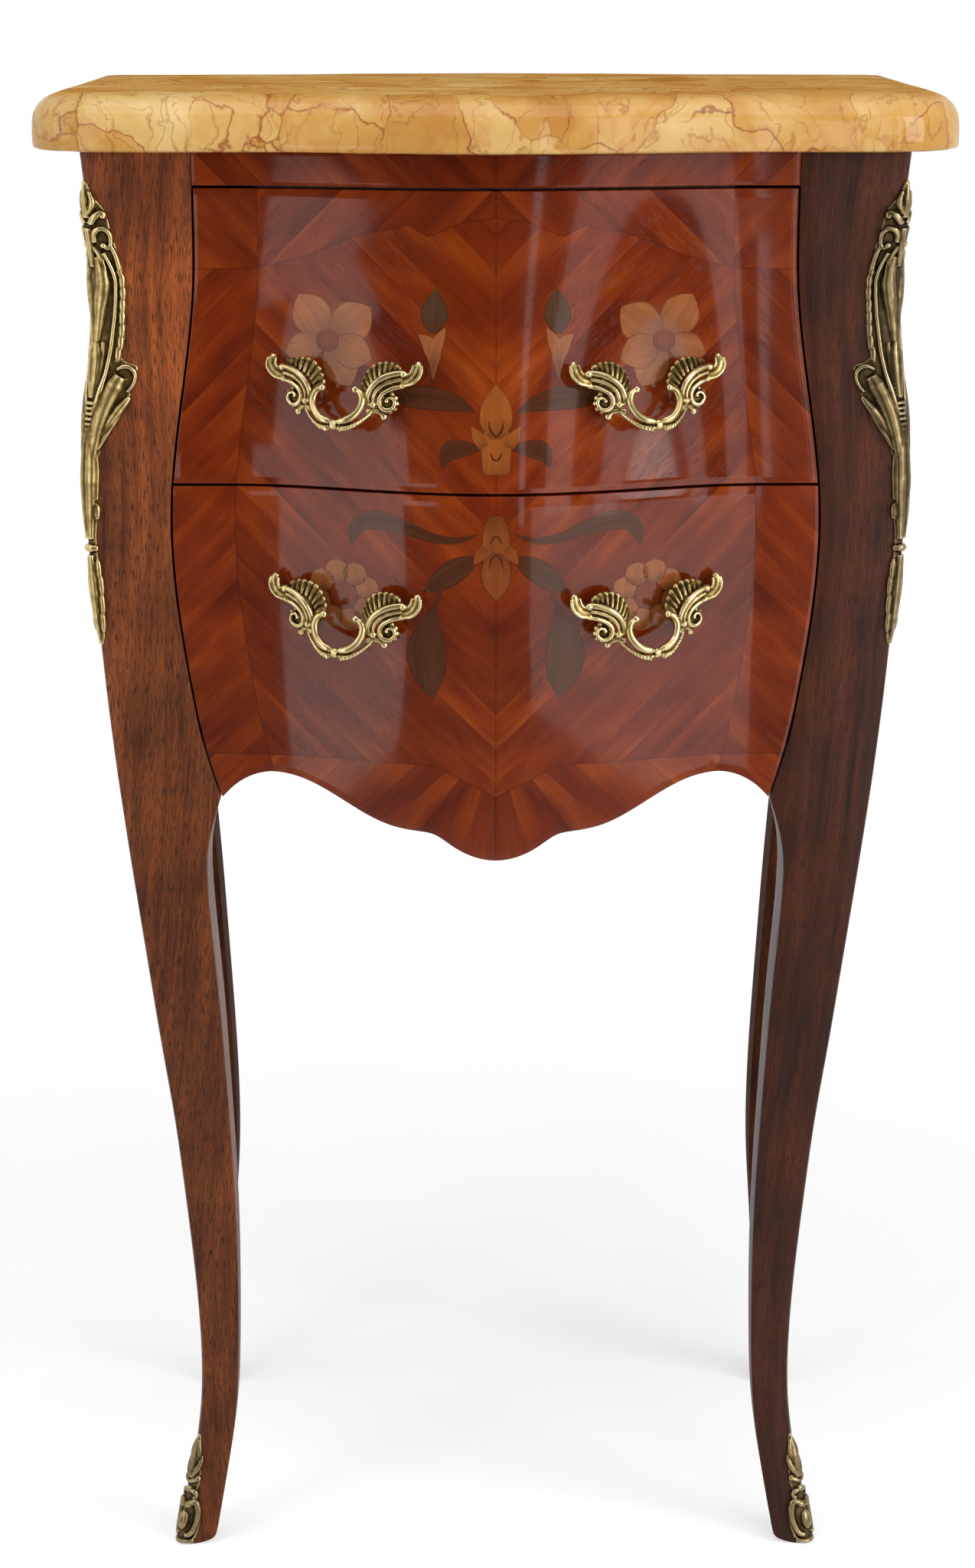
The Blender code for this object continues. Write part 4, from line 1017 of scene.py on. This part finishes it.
# %% Inlays of the lower drawer
BLOSSOM = (-75.5, 528.6)
LOWER_BLADES = (
    *(disc(round_about(BLOSSOM, angle, 12.6), 6, PALE, 0.1) for angle in (20, 62, 104, 146, 196, 240, 285, 330)),
    disc(BLOSSOM, 7.2, RUSSET, 0.14),
    (DARK, 0.1, ((-9.4, 562.2), (-19.4, 559.2), (-32.4, 560.4), (-43.6, 564.4), (-54.7, 567.2), (-64.1, 567),
     (-69.7, 561.6), (-71, 554.6)), (0.3, 1.6, 2.4, 3.4, 4.4, 4.4, 3.4, 0.2)),
    (DARK, 0.12, ((-7.8, 551), (-16.5, 546.4), (-26.4, 539.6), (-35.6, 532.6)), (0.4, 5.2, 5.4, 0.2)),
    (DARK, 0.1, ((-26, 536), (-30.6, 524), (-33.2, 512), (-34.2, 501), (-32.8, 489), (-31.2, 478)),
     (0.4, 1.6, 7.4, 9.8, 7.4, 0.2)),
    (LILY, 0.14, ((0, 571.6), (0, 566), (0, 559), (0, 552), (0, 547)), (3, 6, 6.9, 7.4, 5.5)),
    (LILY, 0.16, ((-5.6, 556), (-8, 552), (-10.8, 547.4)), (2, 2.7, 0.2)),
    (LILY, 0.22, ((0, 553.4), (0, 548), (0, 542), (0, 536), (0, 529.8)), (2.4, 6.6, 7.4, 5.8, 0.4)),
    (DARK, 0.26, ((-3.5, 545.2), (-2.4, 549.8), (0, 552.8)), (0.1, 0.6, 0.5)),
    (DARK, 0.26, ((-2.7, 557.4), (-1.6, 560.4), (0, 561.6)), (0.1, 0.5, 0.4)),
)
marquetry("lower", LOWER_BLADES)

# %% [markdown]
# ## Corner mounts and shoes
# A corner mount wraps round the outer edge of a front leg. It is modelled flat, as (round the corner, up, lift), and
# then every point is bent round the leg: the flat part of the leg's front, its rounded corner and its side follow one
# another. The leg's outline at each height is read from the solid.

# %% Bending round the leg
FOOT_ROUND, POST_ROUND, CASE_TOP = 0.0045, 0.0065, 0.7449
PLATE_THICK, PLATE_DOME, PLATE_SUNK, PLATE_ROWS = 0.7, 0.6, 0.5, 130
leg_points = listed(nodes["front_leg_right"].data.vertices, "co")
leg_heights = sorted(set(np.round(leg_points[:, 2], 4)))
leg_outer, leg_front = [], []
for height in leg_heights:
    level = leg_points[np.abs(leg_points[:, 2] - height) < 6e-5]
    leg_outer.append(level[:, 0].max())
    leg_front.append(level[:, 1].min())


def bend_round_leg(mesh, hand):
    """Flat (round the corner, lift, up) points moved onto the corner of the left (-1) or right (1) front leg."""
    wrap, lift, z = listed(mesh.vertices, "co").T
    outer = np.interp(z, leg_heights, leg_outer)
    front = np.interp(z, leg_heights, leg_front)
    radius = FOOT_ROUND + (POST_ROUND - FOOT_ROUND) * z / CASE_TOP
    quarter = radius * math.pi / 4
    angle = math.pi / 4 * (1 + np.clip(wrap / quarter, -1, 1))
    beyond = np.maximum(0, np.abs(wrap) - quarter)
    x = outer - radius + (radius - lift) * np.sin(angle) - np.where(wrap < 0, beyond, 0)
    y = front + radius - (radius - lift) * np.cos(angle) + np.where(wrap > 0, beyond, 0)
    mesh.vertices.foreach_set("co", np.stack((hand * x, y, z), 1).ravel())
    if hand < 0:
        mesh.flip_normals()
    mesh.update()


def mount_plate(bm, outline, low, tall):
    """A domed plate within an outline of (height, half width) knots."""
    made = bmesh.ops.create_grid(bm, x_segments=12, y_segments=PLATE_ROWS, size=1)["verts"]
    for vertex in made:
        share = (vertex.co.y + 1) / 2
        wide = np.interp(share * tall / MM, *zip(*outline))
        bulge = PLATE_THICK + PLATE_DOME * (1 - vertex.co.x ** 2)
        vertex.co = (vertex.co.x * wide * MM, -bulge * MM, low + share * tall)
    faces = {face for vertex in made for face in vertex.link_faces}
    for vertex in bmesh.ops.extrude_face_region(bm, geom=list(faces))["geom"]:
        if isinstance(vertex, bmesh.types.BMVert):
            vertex.co.y = PLATE_SUNK * MM


def set_mounts(kind, metals, low, tall, outline, strands, balls, voxel):
    """A flat mount with its two halves alike, cast once and bent round both front legs."""
    curve, bm = new_wax()
    mount_plate(bm, outline, low, tall)
    for side in (-1, 1):
        for knots in strands:
            if side > 0 or any(abs(knot[0]) > 0.01 for knot in knots):
                strand(curve, [(side * u, -off, low / MM + h, radius) for u, h, off, radius in knots])
        for u, h, off, *radii in balls:
            if side > 0 or abs(u) > 0.01:
                lump(bm, (side * u, -off, low / MM + h), radii)
    flat = cast(kind, curve, bm, voxel)
    keep(flat, "hollow", hollows(flat, 12, 0.4))
    for (hand, word), metal in zip(HANDS, metals):
        mesh = dress(flat.copy(), metal)
        bend_round_leg(mesh, hand)
        put(f"{kind}_{word}_cast", mesh, "carcase", "aged_brass", f"{kind}_{word}")
    print(kind, len(flat.polygons), "faces each")


print("leg outline read at", len(leg_heights), "heights")

# %% Corner mounts
# The right corner mount takes the darker brass as painted shade.
CHUTE_METALS, CHUTE_LOW, CHUTE_TALL = (brass, shoe_and_shaded_chute_brass), 0.5004, 0.2300
CHUTE_OUTLINE = (  # height, half width
    (0, 1.2), (4, 2.6), (15, 3.4), (33, 4.2), (45, 3), (55, 3), (62, 3.8), (68, 5.6), (74, 4.2), (92, 4.8),
    (100, 6.2), (104, 7.6), (112, 12.5), (118, 17.4), (119.5, 15.5), (125, 19), (127, 18), (138, 21.4), (140.5, 20.4),
    (142, 13.2), (148, 13), (154, 14.4), (161, 14.2), (172, 13.8), (180, 14.2), (189, 12.8), (197, 11.8), (205, 10),
    (212, 9.4), (216, 8.4), (221, 4.8), (226, 2.6), (230, 1.2),
)
CHUTE_STRANDS = (  # round the corner, up from the lower end, lift, radius
    ((5.3, 195, 2.2, 0.9), (8.2, 188.3, 2.1, 1), (9.6, 183, 2.1, 1), (9.7, 176, 2.1, 1), (9, 166, 2.1, 1),
     (8.2, 157, 2.1, 1), (7.3, 147, 2.2, 1.1), (5.6, 136, 2.2, 1), (3.6, 127, 2.3, 0.9), (2, 117, 2.3, 0.8)),
    ((1.2, 198, 1.9, 0.9), (3.4, 194, 1.9, 0.9), (5, 188.5, 1.8, 0.9), (5.4, 183, 1.7, 1)),
    ((2.4, 193, 0.6, 2), (3.4, 187, 0.4, 2.8), (3.9, 180, 0.2, 3.7), (2.8, 173, 0.2, 3.7), (1.6, 166, 0.6, 2.8),
     (1, 158, 1, 2.2), (0.6, 152, 1.3, 1.6)),
    ((0.4, 151.5, 1.7, 1.2), (0.9, 146, 1.5, 2.1), (0.8, 137, 1.5, 2), (0.2, 124, 1.9, 1)),
    ((3.6, 151, 1.3, 0.6), (3.4, 143, 1.4, 0.7), (2.6, 134, 1.5, 0.6), (1.4, 125, 1.8, 0.5)),
    ((0, 212, 2, 1.5), (0, 220, 1.8, 1.6), (0, 228.6, 0.9, 0.8)),
    ((0.8, 214, 1.8, 1.2), (3.2, 219, 1.5, 1.3), (2.4, 225, 1.1, 0.8)),
    ((1.4, 209, 2.2, 1.3), (4.6, 213.5, 2, 1.5), (7.4, 214.4, 1.6, 1.3), (8.2, 211.8, 1.5, 1)),
    ((2.2, 200, 2.2, 1), (2.6, 204.4, 2.2, 1.2), (5.2, 206.8, 2.1, 1.3), (8.6, 205.4, 1.8, 1.3),
     (9.6, 201.4, 1.7, 1.2), (8, 197.4, 1.9, 1), (5.6, 198.2, 2.2, 0.9)),
    ((8.8, 199, 1.6, 1.1), (11, 193.5, 1.4, 1.3), (12.2, 187, 1.3, 1.3)),
    ((0, 188, 1.9, 1), (0, 197, 2.3, 1.4), (0, 207, 2.5, 1.3)),
    ((1.8, 94, 1.2, 2.2), (3, 105, 0.8, 3), (5, 114.5, 0.2, 4), (7.6, 123.5, -0.6, 4.9), (10.6, 130.5, -1, 5.2),
     (13, 135, -0.4, 3.8)),
    ((11, 138.2, 2, 0.9), (14.6, 139.6, 2.2, 1.1), (18.4, 138.4, 1.8, 1.1), (20.3, 135, 1.4, 1),
     (19.4, 130.4, 1.3, 1), (17, 127, 1.3, 0.9)),
    ((5.6, 106, 0.8, 1.6), (9.6, 112.6, 0.6, 2.6), (13.4, 118, 0.6, 2.8), (16.8, 122.4, 0.8, 2), (18.4, 124.6, 1, 1)),
    ((4.4, 99, 1, 1.1), (8.8, 107.2, 1, 1.4), (13.4, 114.6, 0.9, 1.2), (16.6, 119.2, 0.9, 0.7)),
    ((0.9, 110, 1.8, 1.3), (1.3, 99, 1.3, 2.5), (1.5, 84, 1, 2.9), (1.2, 68, 1.1, 2.4), (0.5, 54, 1.5, 1.6)),
    ((4, 97, 1.2, 0.7), (4.8, 86, 0.9, 0.8), (4.3, 74, 1, 0.7)),
    ((0, 46, 1.9, 1.4), (0, 30, 1.8, 2.2), (0, 14, 1.5, 1.7), (0, 1.2, 0.9, 0.8)),
)
CHUTE_BALLS = (  # round the corner, up, lift, then three radii
    (7.2, 213, 1.8, 1.6, 1.5, 1.6), (5.8, 198.6, 2.2, 1.5, 1.4, 1.5), (0, 178, 0.6, 2.6, 1.8, 12),
    *((u, h, 0.7, 1.8, 1.4, 4.4) for u, h in ( (12.2, 187), (12.9, 181), (13, 175), (12.6, 169), (12.3, 163),
     (12.4, 157), (12, 151), (11, 145.5))),
    (4, 68, 1.3, 1.9, 1.4, 4.2), (0, 49.5, 1.9, 2.8, 2.1, 2.2), (2.6, 49.5, 1.4, 1.4, 1.3, 1.7),
    *((u, h, 0.8, 1.5, 1.4, 6) for u, h in ((2.9, 38), (3.4, 30.5), (3.1, 21), (2.5, 12))),
    *((0.8, 108.5 + 2.6 * step, 2.3, 1.5, 1, 0.95) for step in range(6)),
)
set_mounts("chute", CHUTE_METALS, CHUTE_LOW, CHUTE_TALL, CHUTE_OUTLINE, CHUTE_STRANDS, CHUTE_BALLS, 0.36)

# %% Shoes
SABOT_METALS, SABOT_LOW, SABOT_TALL = (shoe_and_shaded_chute_brass, shoe_and_shaded_chute_brass), 0.0005, 0.0585
SABOT_OUTLINE = (
    (0, 6.4), (6, 6.7), (12, 7.6), (18, 7.8), (22, 6.5), (25, 4.4), (29, 4), (33, 4.7), (36, 4.6), (42, 3.5),
    (47, 3.7), (53, 2.4), (58.5, 0.7),
)
SABOT_STRANDS = (
    ((1.2, 21.6, 2.2, 1.4), (3.5, 22.8, 2, 1.7), (5.6, 20, 1.8, 1.8), (6.4, 15, 1.7, 1.8), (5.6, 9.6, 1.8, 1.7),
     (3.6, 5.6, 1.9, 1.5), (1.8, 5, 2.1, 1.1)),
    ((0.5, 29, 1.9, 1), (2.6, 28.4, 1.8, 1.2), (3.8, 25.6, 1.6, 1), (2.6, 24.8, 1.8, 0.8)),
    ((0, 33.6, 2, 1.1), (2.3, 34.8, 1.8, 1.2), (3.8, 36.8, 1.4, 1)),
    ((0, 36, 2, 1.3), (1.8, 40, 1.7, 1.5), (3.2, 44.5, 1.4, 1.1), (3.3, 47.5, 1.2, 0.6)),
    ((0, 38, 2.1, 1.3), (0, 47, 2, 1.6), (0, 57.2, 1.1, 0.7)),
    ((0.9, 44, 1.7, 1.1), (1.8, 50, 1.5, 1.1), (0.9, 55.6, 1.2, 0.6)),
    ((0, 1.4, 1.8, 1.2), (3.5, 1.6, 1.6, 1.2), (6.1, 2.6, 1.3, 1)),
    ((6.4, 3.4, 1.2, 0.9), (7.6, 10, 1.1, 0.9), (7.6, 17, 1.1, 0.9), (6.2, 22.4, 1.1, 0.8)),
)
SABOT_BALLS = (
    (0, 12.6, 1.9, 2.2, 2.2, 5.2), (1.2, 21.4, 2.3, 1.8, 1.5, 1.8), (3.5, 35.2, 1.7, 1.3, 1.2, 1.3),
    (0, 29.5, 1.9, 1.6, 1.3, 2),
)
set_mounts("sabot", SABOT_METALS, SABOT_LOW, SABOT_TALL, SABOT_OUTLINE, SABOT_STRANDS, SABOT_BALLS, 0.34)

# %% Finishes for the solids that stay
LENGTHWISE = ("side", "runner", "kicker", "stop")
for node, item in nodes.items():
    if not item.hide_render:
        made = lengthwise_wood if any(word in node for word in LENGTHWISE) else crosswise_wood
        for place_in in item.material_slots:
            place_in.material = made
print("solids dressed")
